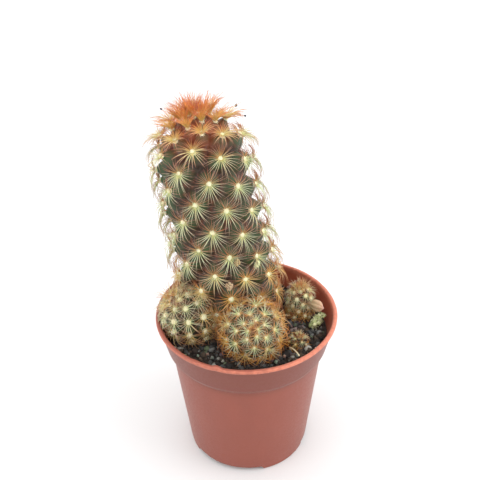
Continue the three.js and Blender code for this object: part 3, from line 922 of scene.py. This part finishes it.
# ---------------------------------------------------------------- the soil


def soil_height(points):
    """The soil's height over points: slow swells with lumps of three sizes on them."""
    rough = settings("cactus_soil").roughness / MM
    flat = points * np.array([1, 1, 0])
    swell = 0.8 * hash_noise(flat, 9.0, 11)
    lumps = 0.9 * hash_noise(flat, 2.3, 12) + 0.6 * hash_noise(flat, 1.1, 13)
    lumps = lumps + 0.7 * np.abs(hash_noise(flat, 0.55, 14))
    return soil_level() + rough * (swell + lumps)


def soil_surface(rows=150, columns=300):
    """A plug of soil: a lumpy top, a side that follows the inside of the pot, and a flat bottom."""
    gap = 0.12
    turn = np.linspace(0, 2 * np.pi, columns, endpoint=False)[None]
    edge = pot_inside(soil_level()) - gap
    top = polar(turn, np.linspace(0, edge, rows + 1)[1:, None], 0.0)
    top[..., 2] = soil_height(top)
    low = SOIL_BOX[0, 2] - 0.2
    heights = np.linspace(soil_level() - 1.2, low, 24)[:, None]
    side = polar(turn, pot_inside(heights) - gap, heights)
    bottom = polar(turn, np.linspace(side[-1, 0, 0] * 0.9, 2, 8)[:, None], low)
    rings = np.concatenate([top, side, bottom])
    return closed_rings((0, 0, soil_level()), rings, (0, 0, low))


def clear_of_stems(points, margin):
    """True for the points that are outside every stem at its widest, by a margin."""
    free = np.ones(len(points), bool)
    for stem in STEMS:
        turn, foot = stem_frame(stem)
        local = (points - foot) @ turn
        radius = stem_radius(stem, np.clip(local[:, 2], 0, stem.length))
        away = np.hypot(local[:, 0], local[:, 1]) > radius * 0.9 + margin
        free &= away | (local[:, 2] > stem.length) | (local[:, 2] < 0)
    return free


CRUMB_COLOURS = np.array([
    (0.022, 0.018, 0.016), (0.045, 0.033, 0.026), (0.085, 0.060, 0.042), (0.075, 0.078, 0.075),
    (0.16, 0.165, 0.155), (0.11, 0.075, 0.080), (0.34, 0.33, 0.29), (0.12, 0.15, 0.085),
])
CRUMB_SHARES = np.array([0.31, 0.22, 0.13, 0.14, 0.08, 0.04, 0.045, 0.035])


class CACTUS_OT_soil(bpy.types.Operator):
    """Build the soil: its lumpy bed, its loose crumbs and its fibres"""

    bl_idname = "cactus.soil"
    bl_label = "Soil"

    def execute(self, context):
        soil = settings("cactus_soil")
        put("soil_bed", *soil_surface(), soil_material(), "potting_soil", ("soil",))
        rng = np.random.default_rng(soil.seed)
        self.scatter_crumbs(soil, rng)
        self.scatter_fibres(soil, rng)
        return {"FINISHED"}

    def scatter_crumbs(self, soil, rng):
        """Crumbs at random places on the soil, most of them small and dark, clear of the stems."""
        reach = pot_inside(soil_level()) - 0.5
        sizes = soil.crumb_size / MM * rng.lognormal(0, 0.45, soil.crumbs)
        angle = rng.uniform(0, 2 * np.pi, soil.crumbs)
        distance = (reach - sizes) * np.sqrt(rng.uniform(0, 1, soil.crumbs))
        places = polar(angle, distance, 0.0)
        places[:, 2] = soil_height(places) + 0.25 * sizes
        kept = clear_of_stems(places, 0.0)
        places, sizes = places[kept], sizes[kept]
        points, quads, fans = many_pebbles(places, sizes, random_turns(rng, len(places)), 12, soil.seed)
        kinds = rng.choice(len(CRUMB_COLOURS), len(places), p=CRUMB_SHARES / CRUMB_SHARES.sum())
        tint = colours(CRUMB_COLOURS[kinds] * rng.uniform(0.7, 1.35, (len(places), 1)))
        tint = np.repeat(tint, len(points) // len(places), axis=0)
        material = tinted_material("soil crumb", 0.9, 3000, 0.0001)
        put("soil_crumbs", points, quads, fans, material, "potting_soil", tint=tint)

    def scatter_fibres(self, soil, rng):
        """Short bent fibres that lie flat on the soil, tan and dark brown."""
        count, joints, sides = soil.fibres, 6, 4
        reach = pot_inside(soil_level()) - 1.5
        start = polar(rng.uniform(0, 2 * np.pi, count), reach * np.sqrt(rng.uniform(0.05, 1, count)), 0.0)
        heading = rng.uniform(0, 2 * np.pi, (count, 1))
        heading = heading + np.linspace(-1, 1, joints) * rng.uniform(-0.7, 0.7, (count, 1))
        length = rng.uniform(1.2, 4.0, (count, 1))
        step = polar(heading, length / joints, 0.0)
        paths = start[:, None] + np.cumsum(step, axis=1)
        inside = np.hypot(paths[..., 0], paths[..., 1]).max(axis=1) < reach + 0.8
        kept = inside & clear_of_stems(paths[:, 0], 0.3) & clear_of_stems(paths[:, -1], 0.3)
        paths = paths[kept]
        paths[..., 2] = soil_height(paths) + rng.uniform(0.1, 0.5, (len(paths), 1))
        radii = rng.uniform(0.04, 0.1, (len(paths), 1)) * np.linspace(1, 0.4, joints)
        strands = tubes(paths, radii, sides, np.tile([0, 0, 1.0], (len(paths), 1)))
        shade = rng.choice([0.03, 0.07, 0.2, 0.4], (len(paths), 1), p=[0.4, 0.3, 0.2, 0.1])
        tint = np.repeat(colours(shade * np.array([[1, 0.78, 0.55]])), joints * sides, axis=0)
        material = tinted_material("peat fibre", 0.9, 3000, 0.00005)
        put_tubes("soil_fibres", strands, material, "potting_soil", tint=tint)


# ---------------------------------------------------------------- the stems


def areoles(stem):
    """The tubercles that stand clear of the soil, as their tips, normals, spacing and way down."""
    tips, normals, spacing, way = tubercles(stem)
    clear = tips[:, 2] > stem.sink - 1
    return tips[clear], normals[clear], spacing[clear], way[clear]


def tubercle_field(points, tips, spacing):
    """How deep each point lies between tubercles, from 0 at a tip to 1 in an axil, and the local spacing.

    The distance to every tip is measured in that tip's own spacing, and the smallest is taken, with rounded
    corners where two tubercles meet.
    """
    axil_at, sharpness, blunt = 0.56, 22, 0.22
    squares = np.sum(points**2, axis=1)[:, None] + np.sum(tips**2, axis=1) - 2 * points @ tips.T
    distance = np.sqrt(np.maximum(squares, 0)) / spacing
    nearest = distance.min(axis=1, keepdims=True)
    soft = nearest[:, 0] - np.log(np.exp(-sharpness * (distance - nearest)).sum(axis=1)) / sharpness
    local = spacing[distance.argmin(axis=1)]
    share = np.clip(soft / axil_at, 0, 1.15)
    return (np.sqrt(share**2 + blunt**2) - blunt) / (np.sqrt(1 + blunt**2) - blunt), local


def stem_skin(stem):
    """A turned skin, pushed in and down between the tubercles and roughened by noise.

    Returns also how deep each point is between them, and how young and fiery it is.
    """
    sag = 0.22
    tips, _, spacing, _ = tubercles(stem)
    radius, height, out, up, way = meridian(stem, stem.along)
    turn = np.linspace(0, 2 * np.pi, stem.around, endpoint=False)[None]
    rings = polar(turn, radius[1:-1, None], height[1:-1, None])
    normals = polar(turn, out[1:-1, None], up[1:-1, None])
    flat = rings.reshape(-1, 3)
    depth, local = tubercle_field(flat, tips, spacing)
    full = np.sqrt(stem.cell)
    reach = np.minimum(stem.tubercle * local / full, np.repeat(way[1:-1], stem.around) * 0.5)
    push = -reach * depth + 0.06 * hash_noise(flat, 0.9, 21) + 0.03 * hash_noise(flat, 0.4, 22)
    flat = flat + normals.reshape(-1, 3) * push[:, None] - np.array([0, 0, sag]) * (reach * depth)[:, None]
    rings = flat.reshape(rings.shape)
    top = np.array([0, 0, rings[0, :, 2].mean()])
    bottom = np.array([0, 0, rings[-1, :, 2].mean() - 0.2])
    points, quads, fans = closed_rings(top, rings, bottom)
    axil = np.concatenate([[0.5], np.clip(depth, 0, 1), [1]])
    ways = np.concatenate([[0], np.repeat(way[1:-1], stem.around), [way[-1]]])
    young = smooth_step(stem.crown * 0.85, stem.crown * 0.3, ways)
    return stand(stem, points), quads, fans, axil, young * stem.fire


SPINE_STOPS = [0, 0.4, 0.75, 1]
PALE_SPINE = [paint(200, 204, 128), paint(202, 210, 172), paint(186, 166, 138), paint(156, 92, 76)]
BROWN_SPINE = [paint(166, 130, 68), paint(154, 96, 64), paint(154, 78, 64), paint(118, 52, 48)]
GOLD_SPINE = [paint(230, 184, 92), paint(214, 146, 60), paint(190, 108, 50), paint(122, 60, 34)]
FIERY_SPINE = [paint(238, 206, 112), paint(238, 180, 90), paint(228, 126, 74), paint(158, 80, 68)]


def mixed(one, other, share):
    """Colours along spines, mixed by a share that each spine has."""
    return one + (other - one) * share[..., None, None]


def skin_directions(normals):
    """The directions up and sideways along the skin. Where the skin is level, up is along X instead."""
    upward = np.array([0, 0, 1.0]) - normals * normals[:, 2:]
    level = np.linalg.norm(upward, axis=1) < 0.05
    upward[level] = np.array([1.0, 0, 0]) - normals[level] * normals[level, :1]
    upward = unit(upward)
    return upward, np.cross(normals, upward)


def spine_length(stem, lower, down, youth, spread):
    """Spines are longer where they point down and where they are young, and short near the tip."""
    length = stem.spine_length * (0.84 + 0.2 * lower + spread)
    length = length * (stem.short + (1 - stem.short) * smooth_step(0.2, 0.55, down))[:, None]
    return length * (1 + 0.06 * stem.fire * youth)


def spine_tint(stem, rng, uneven, lower, down, age, share):
    """Colours along the spines, mixed from four palettes.

    They are brown where they point up, golden low on the stem and, by gilt, where they point up, and fiery
    at the crown.
    """
    noise = uneven * rng.normal(0, 0.1, lower.shape)
    raised = smooth_step(0.6, -0.45, lower)
    brown = np.clip(stem.brown * raised + noise, 0, 1)
    low_down = smooth_step(stem.gold_from, stem.gold_from + 0.2, down)[:, None]
    gold = np.clip(stem.gold * np.maximum(low_down, stem.gilt * raised) + noise, 0, 1)
    fire = np.clip(stem.fire * (1 - age) ** 0.95 * (1 + noise), 0, 1)
    palettes = (PALE_SPINE, BROWN_SPINE, GOLD_SPINE, FIERY_SPINE)
    pale, dark, golden, fiery = (blend_palette(SPINE_STOPS, palette, share) for palette in palettes)
    tint = mixed(mixed(mixed(pale, dark, brown), golden, gold), fiery, fire)
    return np.clip(tint * (1 + uneven * rng.normal(0, 0.07, lower.shape))[..., None, None], 0, 1)


def stem_spines(stem, seed, reach=np.inf, long=1.0):
    """Spines in a star round each areole: each leaves outwards, then bends back towards the skin.

    A spine's heading swings evenly from its first angle above the skin to its last one, and its path is the
    sum of its headings. At the crown the spines are young: they stand up, and are orange with dark tips.
    Only areoles nearer to the tip than reach have them, and long is the share of their full length that
    they have. Returns the tubes and their colours.
    """
    plant = settings("cactus_plant")
    rng = np.random.default_rng(seed)
    uneven = 1.0 if plant.uneven else 0.0
    tips, normals, _, way = areoles(stem)
    near = way < reach
    tips, normals, way = tips[near], normals[near], way[near]
    count, joints = stem.spines, plant.spine_joints
    youth = 1 - smooth_step(0.4 * stem.crown, 1.05 * stem.crown, way)[:, None]
    normals = unit(normals + (0.2 + 1.5 * stem.fire * youth**2.5) * np.array([0, 0, 1.0]))
    upward, sideways = skin_directions(normals)
    step = 2 * np.pi / count
    turn = np.arange(count) * step + uneven * rng.normal(0, 0.2, (len(tips), count)) * step
    turn = turn + rng.uniform(0, step, (len(tips), 1))
    curl = uneven * rng.normal(0, 0.07, turn.shape)
    lower = -np.cos(turn)
    down = way / stem.length
    length = long * spine_length(stem, lower, down, youth, uneven * rng.normal(0, 0.07, turn.shape))
    grown = smooth_step(0, 0.7 * stem.crown, way)[:, None]
    rise = np.radians(84 - 36 * grown + uneven * rng.normal(0, 6, turn.shape))
    fall = np.radians(66 - 100 * grown + uneven * rng.normal(0, 7, turn.shape))
    share = np.linspace(0, 1, joints)
    heading = rise[..., None] + (fall - rise)[..., None] * share
    bearing = turn[..., None] + curl[..., None] * share
    radial = upward[:, None, None] * np.cos(bearing)[..., None]
    radial = radial + sideways[:, None, None] * np.sin(bearing)[..., None]
    along = radial * np.cos(heading)[..., None] + normals[:, None, None] * np.sin(heading)[..., None]
    middle = (along[:, :, 1:] + along[:, :, :-1]) / 2 * (length / (joints - 1))[..., None, None]
    path = np.concatenate([np.zeros_like(middle[:, :, :1]), np.cumsum(middle, axis=2)], axis=2)
    root = tips[:, None] + radial[:, :, 0] * stem.knob * 0.35 + normals[:, None] * stem.knob * 0.1
    paths = (root[:, :, None] + path).reshape(-1, joints, 3)
    thickness = plant.spine_thickness / MM * (stem.spine_length / 6.3) ** 0.35
    shape = np.interp(share, [0, 0.08, 0.45, 1], [1.15, 1.0, 0.85, 0.22])
    radii = (thickness * (1 + uneven * rng.normal(0, 0.1, turn.shape)))[..., None] * shape
    hint = np.repeat(sideways + 0.3 * normals, count, axis=0)
    points, walls, ends = tubes(paths, radii.reshape(-1, joints), plant.spine_sides, hint)
    age = smooth_step(0, stem.crown, way)[:, None]
    tint = spine_tint(stem, rng, uneven, lower, down, age, share).reshape(-1, 3)
    return (stand(stem, points), walls, ends), np.repeat(colours(tint), plant.spine_sides, axis=0)


def stem_wool(stem, seed):
    """A woolly knob on each areole: a flattened ball with lumps, and short bent hairs that stand out."""
    hairs, joints, sides = settings("cactus_plant").wool_hairs, 4, 3
    rng = np.random.default_rng(seed)
    tips, normals, spacing, _ = areoles(stem)
    size = stem.knob * np.minimum(1, 0.5 + 0.5 * spacing / np.sqrt(stem.cell))
    size = size * rng.uniform(0.88, 1.12, len(tips))
    ball, quads, fans = pebble((1, 1, 1), 1.0, 0.16, 0.5, seed, rows=9, columns=14)
    across = unit(np.cross(normals, [0.3, 0.9, 0.1]))
    turns = np.stack([across, np.cross(normals, across), 0.8 * normals], axis=2)
    centre = tips + 0.15 * size[:, None] * normals
    knobs = np.einsum("nij,kj->nki", turns, ball) * size[:, None, None] + centre[:, None]
    quads, fans = (repeated(faces, len(tips), len(ball)) for faces in (quads, fans))
    centre, normals = np.repeat(centre, hairs, axis=0), np.repeat(normals, hairs, axis=0)
    size = np.repeat(size, hairs)
    heading = unit(rng.normal(size=normals.shape) + 0.9 * normals)
    bend = np.cross(heading, rng.normal(size=normals.shape))
    share = np.linspace(0, 1, joints)[None, :, None]
    bent = heading[:, None] * (0.7 + 0.85 * share) + bend[:, None] * 0.28 * share**2
    paths = centre[:, None] + size[:, None, None] * bent
    radii = np.tile([0.045, 0.04, 0.03, 0.014], (len(paths), 1)) * (stem.knob / 0.78) ** 0.5
    strands, walls, ends = tubes(paths, radii, sides, unit(np.cross(heading, bend + 0.01)))
    points = np.concatenate([knobs.reshape(-1, 3), strands])
    walls, ends = walls + knobs[..., 0].size, ends + knobs[..., 0].size
    return stand(stem, points), np.concatenate([quads, walls]), np.concatenate([fans, ends])


class CACTUS_OT_stems(bpy.types.Operator):
    """Build the stems' skins, covered in tubercles on a golden-angle spiral"""

    bl_idname = "cactus.stems"
    bl_label = "Stems"

    def execute(self, context):
        material = flesh_material()
        for stem in STEMS:
            *skin, axil, young = stem_skin(stem)
            put(f"{stem.node}_skin", *skin, material, "cactus_flesh", (stem.node,), axil=axil, young=young)
        return {"FINISHED"}


class CACTUS_OT_wool(bpy.types.Operator):
    """Build the wool on the stems' areoles"""

    bl_idname = "cactus.wool"
    bl_label = "Areole wool"

    def execute(self, context):
        material = wool_material()
        seed = settings("cactus_plant").seed
        for number, stem in enumerate(STEMS):
            put(f"{stem.node}_wool", *stem_wool(stem, seed + 10 + number), material, "areole_wool")
        return {"FINISHED"}


class CACTUS_OT_spines(bpy.types.Operator):
    """Build the spines of every stem"""

    bl_idname = "cactus.spines"
    bl_label = "Spines"

    def execute(self, context):
        material = spine_material()
        seed = settings("cactus_plant").seed
        for number, stem in enumerate(STEMS):
            strands, tint = stem_spines(stem, seed + 20 + number)
            put_tubes(f"{stem.node}_spines", strands, material, "spines", tint=tint)
        tall = STEMS[0]
        strands, tint = stem_spines(tall, seed + 40, reach=0.62 * tall.crown, long=0.72)
        put_tubes(f"{tall.node}_crown_spines", strands, material, "spines", tint=tint)
        return {"FINISHED"}


# ---------------------------------------------------------------- what lies on the soil and in the spines


def middle_of(node):
    """The middle and the half size of a CAD node's box, in millimetres."""
    low, high = np.array(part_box(node)) / MM
    return (low + high) / 2, (high - low) / 2


def turned(points, x=0.0, y=0.0, z=0.0):
    """Points turned about X, then Y, then Z, in degrees."""
    about_z, about_y, about_x = (
        Matrix.Rotation(np.radians(angle), 3, axis) for angle, axis in ((z, "Z"), (y, "Y"), (x, "X")))
    return points @ np.array(about_z @ about_y @ about_x).T


PERLITE_COLOURS = [paint(176, 176, 160), paint(128, 146, 128), paint(160, 132, 116), paint(120, 128, 120)]
BARK_COLOUR = paint(138, 122, 118)
MOSS_COLOURS = np.array(
    [paint(206, 208, 160), paint(180, 188, 134), paint(216, 214, 180), paint(132, 140, 92)])
HUSK_STOPS = [0, 0.5, 0.88, 1]
HUSK_COLOURS = [paint(150, 134, 100), paint(188, 164, 128), paint(202, 168, 138), paint(232, 184, 160)]
SCRAP_COLOURS = [paint(176, 154, 112), paint(206, 206, 158), paint(184, 158, 124)]
TWIG_COLOUR = (0.36, 0.20, 0.16)
STRAW_COLOUR = (0.66, 0.55, 0.34)
DUST_COLOUR = (0.035, 0.03, 0.045)


class CACTUS_OT_perlite(bpy.types.Operator):
    """Build the white crumbs of perlite"""

    bl_idname = "cactus.perlite"
    bl_label = "Perlite"

    def execute(self, context):
        material = tinted_material(
            "perlite foam", 0.85, 2200, 0.00018, Subsurface_Weight=0.1, Subsurface_Scale=0.0005)
        sunk = np.array([0, 0, 0.45])
        for number in range(1, PERLITE_CRUMBS + 1):
            node = f"perlite_{number}"
            middle, half = middle_of(node)
            points, quads, fans = pebble((1, 0.9, 0.85), 0.75, 0.32, 0.7, 40 + number, rows=16, columns=24)
            points = turned(points, 30 * number, 50 * number, 70 * number) * half.mean() * 0.85
            points = points + middle - sunk
            tint = colours(PERLITE_COLOURS[number % len(PERLITE_COLOURS)], len(points))
            put(f"perlite_crumb_{number}", points, quads, fans, material, "perlite", (node,), tint=tint)
        return {"FINISHED"}


def bark_surface():
    """A flake of bark: a squared-off ball, flattened, with ridges that run along it."""
    middle, half = middle_of("bark_chip")
    points, quads, fans = pebble((1, 1, 1), 0.8, 0.2, 0.7, 51, rows=40, columns=60)
    waves = np.sin(points[:, 1] * 16 + 1.5 * hash_noise(points, 0.6, 52))
    ridges = 1 + 0.09 * waves + 0.07 * hash_noise(points * [1, 4, 4], 0.8, 53)
    points = points * np.array([1, 0.92, 1]) * ridges[:, None] * half * 0.95
    points[:, 2] += 0.25 * np.sin(points[:, 0] * 0.9)
    return turned(points, 4, -5, 6) + middle + [0, 0, 0.35], quads, fans


def moss_surface(rng):
    """A tuft of moss: a slanting heap of lumpy pale heads, with small pointed leaves between them."""
    middle, half = middle_of("moss_tuft")
    heads, leaves, joints, sides = 90, 420, 5, 4
    along = rng.uniform(-1, 1, heads)
    centres = middle + along[:, None] * [1.7, 1.9, 0.7] + rng.normal(0, 0.5, (heads, 3))
    centres[:, 2] = np.clip(centres[:, 2], soil_level() + 0.2, middle[2] + half[2])
    sizes = rng.uniform(0.35, 0.75, heads)
    points, quads, fans = many_pebbles(centres, sizes, random_turns(rng, heads), 8, 63)
    heading = unit(rng.normal(size=(leaves, 3)) + [0, 0, 0.5])
    start = centres[rng.integers(0, heads, leaves)] + 0.3 * heading
    share = np.linspace(0, 1, joints)[None, :, None]
    droop = rng.normal(0, 0.4, (leaves, 1, 3))
    length = rng.uniform(0.4, 0.8, (leaves, 1, 1))
    paths = start[:, None] + length * (heading[:, None] * share + droop * share**2)
    radii = np.tile([0.05, 0.12, 0.13, 0.08, 0.02], (leaves, 1)) * rng.uniform(0.7, 1.2, (leaves, 1))
    blades, walls, ends = tubes(paths, radii, sides, unit(np.cross(heading, [0.3, 0.2, 0.9])))
    chosen = [MOSS_COLOURS[rng.integers(0, len(MOSS_COLOURS), count)] for count in (heads, leaves)]
    head_tint = np.repeat(chosen[0], len(points) // heads, axis=0)
    leaf_tint = np.repeat(chosen[1], joints * sides, axis=0)
    quads = np.concatenate([quads, walls + len(points), ends + len(points)])
    return np.concatenate([points, blades]), quads, fans, colours(np.concatenate([head_tint, leaf_tint]))


def husk_surface():
    """A dry flower husk: a ribbed bag, flattened and pinched to a point, with a curled tip."""
    middle, _ = middle_of("dry_husk")
    rows, columns, length = 40, 48, 5.2
    share = np.linspace(0, 1, rows + 2)[1:-1, None]
    turn = np.linspace(0, 2 * np.pi, columns, endpoint=False)[None]
    ribs = 1 + 0.15 * np.cos(7 * turn + 2 * share) + 0.07 * np.cos(15 * turn)
    girth = 1.9 * np.sin(np.pi * share**0.72) ** 0.75 * ribs
    rings = polar(turn, girth, (1 - share) * length) * [1, 0.62, 1]
    points, quads, fans = closed_rings((0, 0, length + 0.4), rings, (0, 0, -0.05))
    points = points + 0.12 * hash_noise(points, 0.8, 71)[:, None] * np.array([1, 1, 0])
    points[:, 0] += 0.10 * (points[:, 2] / length) ** 2
    points = turned(points - [0, 0, length / 2], 15, 96, 353)
    along = np.clip(1 - (points @ np.array([-1.0, 0.12, 0]) + length / 2) / length, 0, 1)
    tint = colours(blend_palette(HUSK_STOPS, HUSK_COLOURS, along))
    return points + middle + [-0.5, 0, 0.1], quads, fans, tint


def rod(points_on, radius, sides=10, joints=40, knots=0.12, seed=0):
    """A thin rod along a smooth curve through three points, with uneven thickness."""
    share = np.linspace(0, 1, joints)[:, None]
    start, middle, end = (np.asarray(point, float) for point in points_on)
    control = 2 * middle - (start + end) / 2
    path = (1 - share) ** 2 * start + 2 * share * (1 - share) * control + share**2 * end
    rough = 1 + knots * hash_noise(path, radius * 3, 80 + seed)
    taper = np.interp(share[:, 0], [0, 0.03, 0.97, 1], [0.6, 1, 0.85, 0.3])
    return tubes(path[None], (radius * rough * taper)[None], sides, np.array([[0.1, 0.2, 1.0]]))


def remain_surface(number):
    """A shrivelled scrap of a flower: a small ball, crumpled by deep folds."""
    middle, half = middle_of(f"flower_remains_{number}")
    points, quads, fans = pebble((1, 0.75, 1.15), 0.9, 0.5, 0.6, 90 + number, rows=44, columns=60)
    turn = np.arctan2(points[:, 1], points[:, 0])
    waves = np.cos(5 * turn + 4 * points[:, 2] + number) + 0.6 * hash_noise(points, 0.28, 94 + number)
    points = turned(points * (1 + 0.26 * waves)[:, None], 20 * number, 35, 60 * number) * half.mean()
    return points + middle + [0, -0.9, 0.3], quads, fans, 0.8 + 0.35 * waves


class CACTUS_OT_litter(bpy.types.Operator):
    """Build the bark, moss, husk, twig and straw, and the dry scraps in the spines"""

    bl_idname = "cactus.litter"
    bl_label = "Litter"

    def execute(self, context):
        rng = np.random.default_rng(settings("cactus_soil").seed + 50)
        flake = bark_surface()
        bark = tinted_material("dry bark", 0.9, 1800, 0.00015)
        put("bark_flake", *flake, bark, "bark", ("bark_chip",), tint=colours(BARK_COLOUR, len(flake[0])))
        *tuft, tint = moss_surface(rng)
        moss = tinted_material("dry moss", 0.95, 2500, 0.00005)
        put("moss_leaves", *tuft, moss, "moss", ("moss_tuft",), tint=tint)
        papery = tinted_material(
            "papery husk", 0.7, 2400, 0.00012, Subsurface_Weight=0.2, Subsurface_Scale=0.0006)
        *husk, tint = husk_surface()
        put("husk_papery", *husk, papery, "dry_plant", ("dry_husk",), tint=tint)
        self.build_rods()
        for number, colour in enumerate(SCRAP_COLOURS, start=1):
            *scrap, light = remain_surface(number)
            tint = colours(np.clip(np.array(colour) * light[:, None], 0, 1))
            node = f"flower_remains_{number}"
            put(f"flower_scrap_{number}", *scrap, papery, "dry_plant", (node,), tint=tint)
        self.build_specks(rng)
        return {"FINISHED"}

    def build_rods(self):
        """The twig by the wall and the straw over the lip, along their CAD boxes' diagonals."""
        low, high = np.array(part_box("twig")) / MM
        start = np.array([low[0] + 0.5, high[1] - 0.6, low[2] + 0.5])
        end = np.array([high[0] - 0.5, low[1] + 0.6, high[2] - 0.5])
        twig = rod((start, (start + end) / 2 + [0.25, 0.3, 0], end), 0.42, knots=0.35, seed=1)
        material = tinted_material("twig bark", 0.85, 2600, 0.0001)
        put_tubes("twig_dry", twig, material, "bark", ("twig",), tint=colours(TWIG_COLOUR, len(twig[0])))
        low, high = np.array(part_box("straw")) / MM
        start = np.array([low[0] - 1.6, high[1] - 0.3, low[2] + 0.2])
        end = np.array([high[0] - 2.2, low[1] + 0.3, high[2] - 0.35])
        straw = rod((start, (start + end) / 2 + [0, 0, 0.6], end), 0.2, knots=0.2, seed=2)
        material = tinted_material("straw fibre", 0.6, 2600, 0.00005)
        tint = colours(STRAW_COLOUR, len(straw[0]))
        put_tubes("straw_stalk", straw, material, "dry_plant", ("straw",), tint=tint)

    def build_specks(self, rng):
        """A few dark specks of dust by the crown, each on the tip of a spine of its own."""
        stem, joints, sides = STEMS[0], 8, 4
        angle = np.radians([155, 22, 13])
        radius = np.array([9.9, 12.4, 13.9])
        height = stem.length + np.array([1.9, -0.7, -3.5])
        sizes = np.array([0.34, 0.5, 0.32])
        places = stand(stem, polar(angle, radius, height))
        roots = stand(stem, tubercles(stem)[0])
        apart = np.linalg.norm(roots[:, None] - places, axis=-1)
        roots = roots[apart.argmin(axis=0)][:, None]
        share = np.linspace(0, 1, joints)[:, None]
        bow = np.array([0, 0, 1.6]) * share * (1 - share)
        paths = roots + (places[:, None] - roots) * share + bow
        radii = np.tile(np.linspace(0.1, 0.05, joints), (len(places), 1))
        strands = tubes(paths, radii, sides, np.tile([0, 1.0, 0], (len(places), 1)))
        tint = np.repeat(colours(blend_palette(SPINE_STOPS, FIERY_SPINE, share[:, 0])), sides, axis=0)
        tint = np.tile(tint, (len(places), 1))
        put_tubes("speck_spines", strands, spine_material(), "spines", tint=tint)
        specks = many_pebbles(places, sizes, random_turns(rng, len(places)), 3, 97)
        dust = tinted_material("dark dust", 0.9, 3000, 0.00005)
        put("dust_specks", *specks, dust, "bark", tint=colours(DUST_COLOUR, len(specks[0])))


# ---------------------------------------------------------------- the stage


class CACTUS_OT_stage(bpy.types.Operator):
    """Build the floor, the lights and the camera"""

    bl_idname = "cactus.stage"
    bl_label = "Stage"

    def execute(self, context):
        stage = settings("cactus_stage")
        self.build_floor(stage)
        self.build_lights(context, stage)
        self.build_camera(context, stage)
        context.scene.view_settings.view_transform = "Standard"
        return {"FINISHED"}

    def build_floor(self, stage):
        """A wide pale floor, level with the pot's foot."""
        reach = 3.0
        mesh = bpy.data.meshes.new("floor")
        corners = [(-reach, -reach, 0), (reach, -reach, 0), (reach, reach, 0), (-reach, reach, 0)]
        mesh.from_pydata(corners, [], [(0, 1, 2, 3)])
        shader = Shader("pale floor", Roughness=0.7, Base_Color=tuple(stage.floor_colour) + (1,))
        mesh.materials.append(shader.material)
        floor = bpy.data.objects.new("floor", mesh)
        bpy.context.scene.collection.objects.link(floor)

    def build_lights(self, context, stage):
        """White light from all round, a large soft light at the right and a smaller one at the left."""
        world = bpy.data.worlds.new("white room")
        world.use_nodes = True
        background = world.node_tree.nodes["Background"]
        background.inputs["Color"].default_value = (1, 1, 1, 1)
        background.inputs["Strength"].default_value = stage.world_strength
        context.scene.world = world
        self.area_light(context, "key", place=(0.56, -0.18, 0.50), size=0.5, power=stage.key_power)
        self.area_light(context, "fill", place=(-0.55, -0.20, 0.40), size=0.4, power=stage.fill_power)

    def area_light(self, context, name, place, size, power):
        """A round lamp that shines on the pot."""
        light = bpy.data.lights.new(name, "AREA")
        light.shape, light.size, light.energy = "DISK", size, power
        lamp = bpy.data.objects.new(name, light)
        lamp.location = place
        lamp.rotation_euler = (Vector((0, 0, 0.05)) - lamp.location).to_track_quat("-Z", "Y").to_euler()
        context.scene.collection.objects.link(lamp)

    def build_camera(self, context, stage):
        """Looks at the pot's middle from the front and above, then turned by pitch, yaw and roll."""
        target = Vector((0, 0, POT_HEIGHT * MM / 2))
        tilt = stage.camera_height
        place = target + stage.camera_distance * Vector((0, -np.cos(tilt), np.sin(tilt)))
        look = Matrix.Rotation(np.pi / 2 - tilt, 3, "X")
        turn = look @ Matrix.Rotation(stage.camera_pitch, 3, "X")
        turn = turn @ Matrix.Rotation(-stage.camera_yaw, 3, "Y")
        turn = turn @ Matrix.Rotation(stage.camera_roll, 3, "Z")
        camera = bpy.data.cameras.new("camera")
        camera.lens = stage.lens
        camera.clip_start = 0.01
        eye = bpy.data.objects.new("camera", camera)
        eye.matrix_world = Matrix.Translation(place) @ turn.to_4x4()
        context.scene.collection.objects.link(eye)
        context.scene.camera = eye


# ---------------------------------------------------------------- the panel and the add-on

GROUPS = {
    "cactus_pot": PotSizes,
    "cactus_soil": SoilLooks,
    "cactus_plant": PlantLooks,
    "cactus_stage": StageLooks,
}
OPERATORS = [
    CACTUS_OT_pot,
    CACTUS_OT_soil,
    CACTUS_OT_perlite,
    CACTUS_OT_stems,
    CACTUS_OT_wool,
    CACTUS_OT_spines,
    CACTUS_OT_litter,
    CACTUS_OT_stage,
]


class CACTUS_PT_panel(bpy.types.Panel):
    """Lists the pieces to build and their sizes and colours"""

    bl_idname = "CACTUS_PT_panel"
    bl_label = "Potted finger cactus"
    bl_space_type = "VIEW_3D"
    bl_region_type = "UI"
    bl_category = "Cactus"

    def draw(self, context):
        for operator in OPERATORS:
            self.layout.operator(operator.bl_idname)
        for title, kind in GROUPS.items():
            box = self.layout.box()
            for size in kind.__annotations__:
                box.prop(getattr(context.scene, title), size)


def register():
    for title, kind in GROUPS.items():
        bpy.utils.register_class(kind)
        setattr(bpy.types.Scene, title, PointerProperty(type=kind))
    for operator in OPERATORS:
        bpy.utils.register_class(operator)
    bpy.utils.register_class(CACTUS_PT_panel)


def unregister():
    bpy.utils.unregister_class(CACTUS_PT_panel)
    for operator in reversed(OPERATORS):
        bpy.utils.unregister_class(operator)
    for title, kind in GROUPS.items():
        delattr(bpy.types.Scene, title)
        bpy.utils.unregister_class(kind)


def main():
    """Builds every piece."""
    register()
    bpy.ops.cactus.stage()
    bpy.ops.cactus.pot()
    bpy.ops.cactus.soil()
    bpy.ops.cactus.perlite()
    bpy.ops.cactus.stems()
    bpy.ops.cactus.wool()
    bpy.ops.cactus.spines()
    bpy.ops.cactus.litter()


if __name__ == "__main__":
    main()
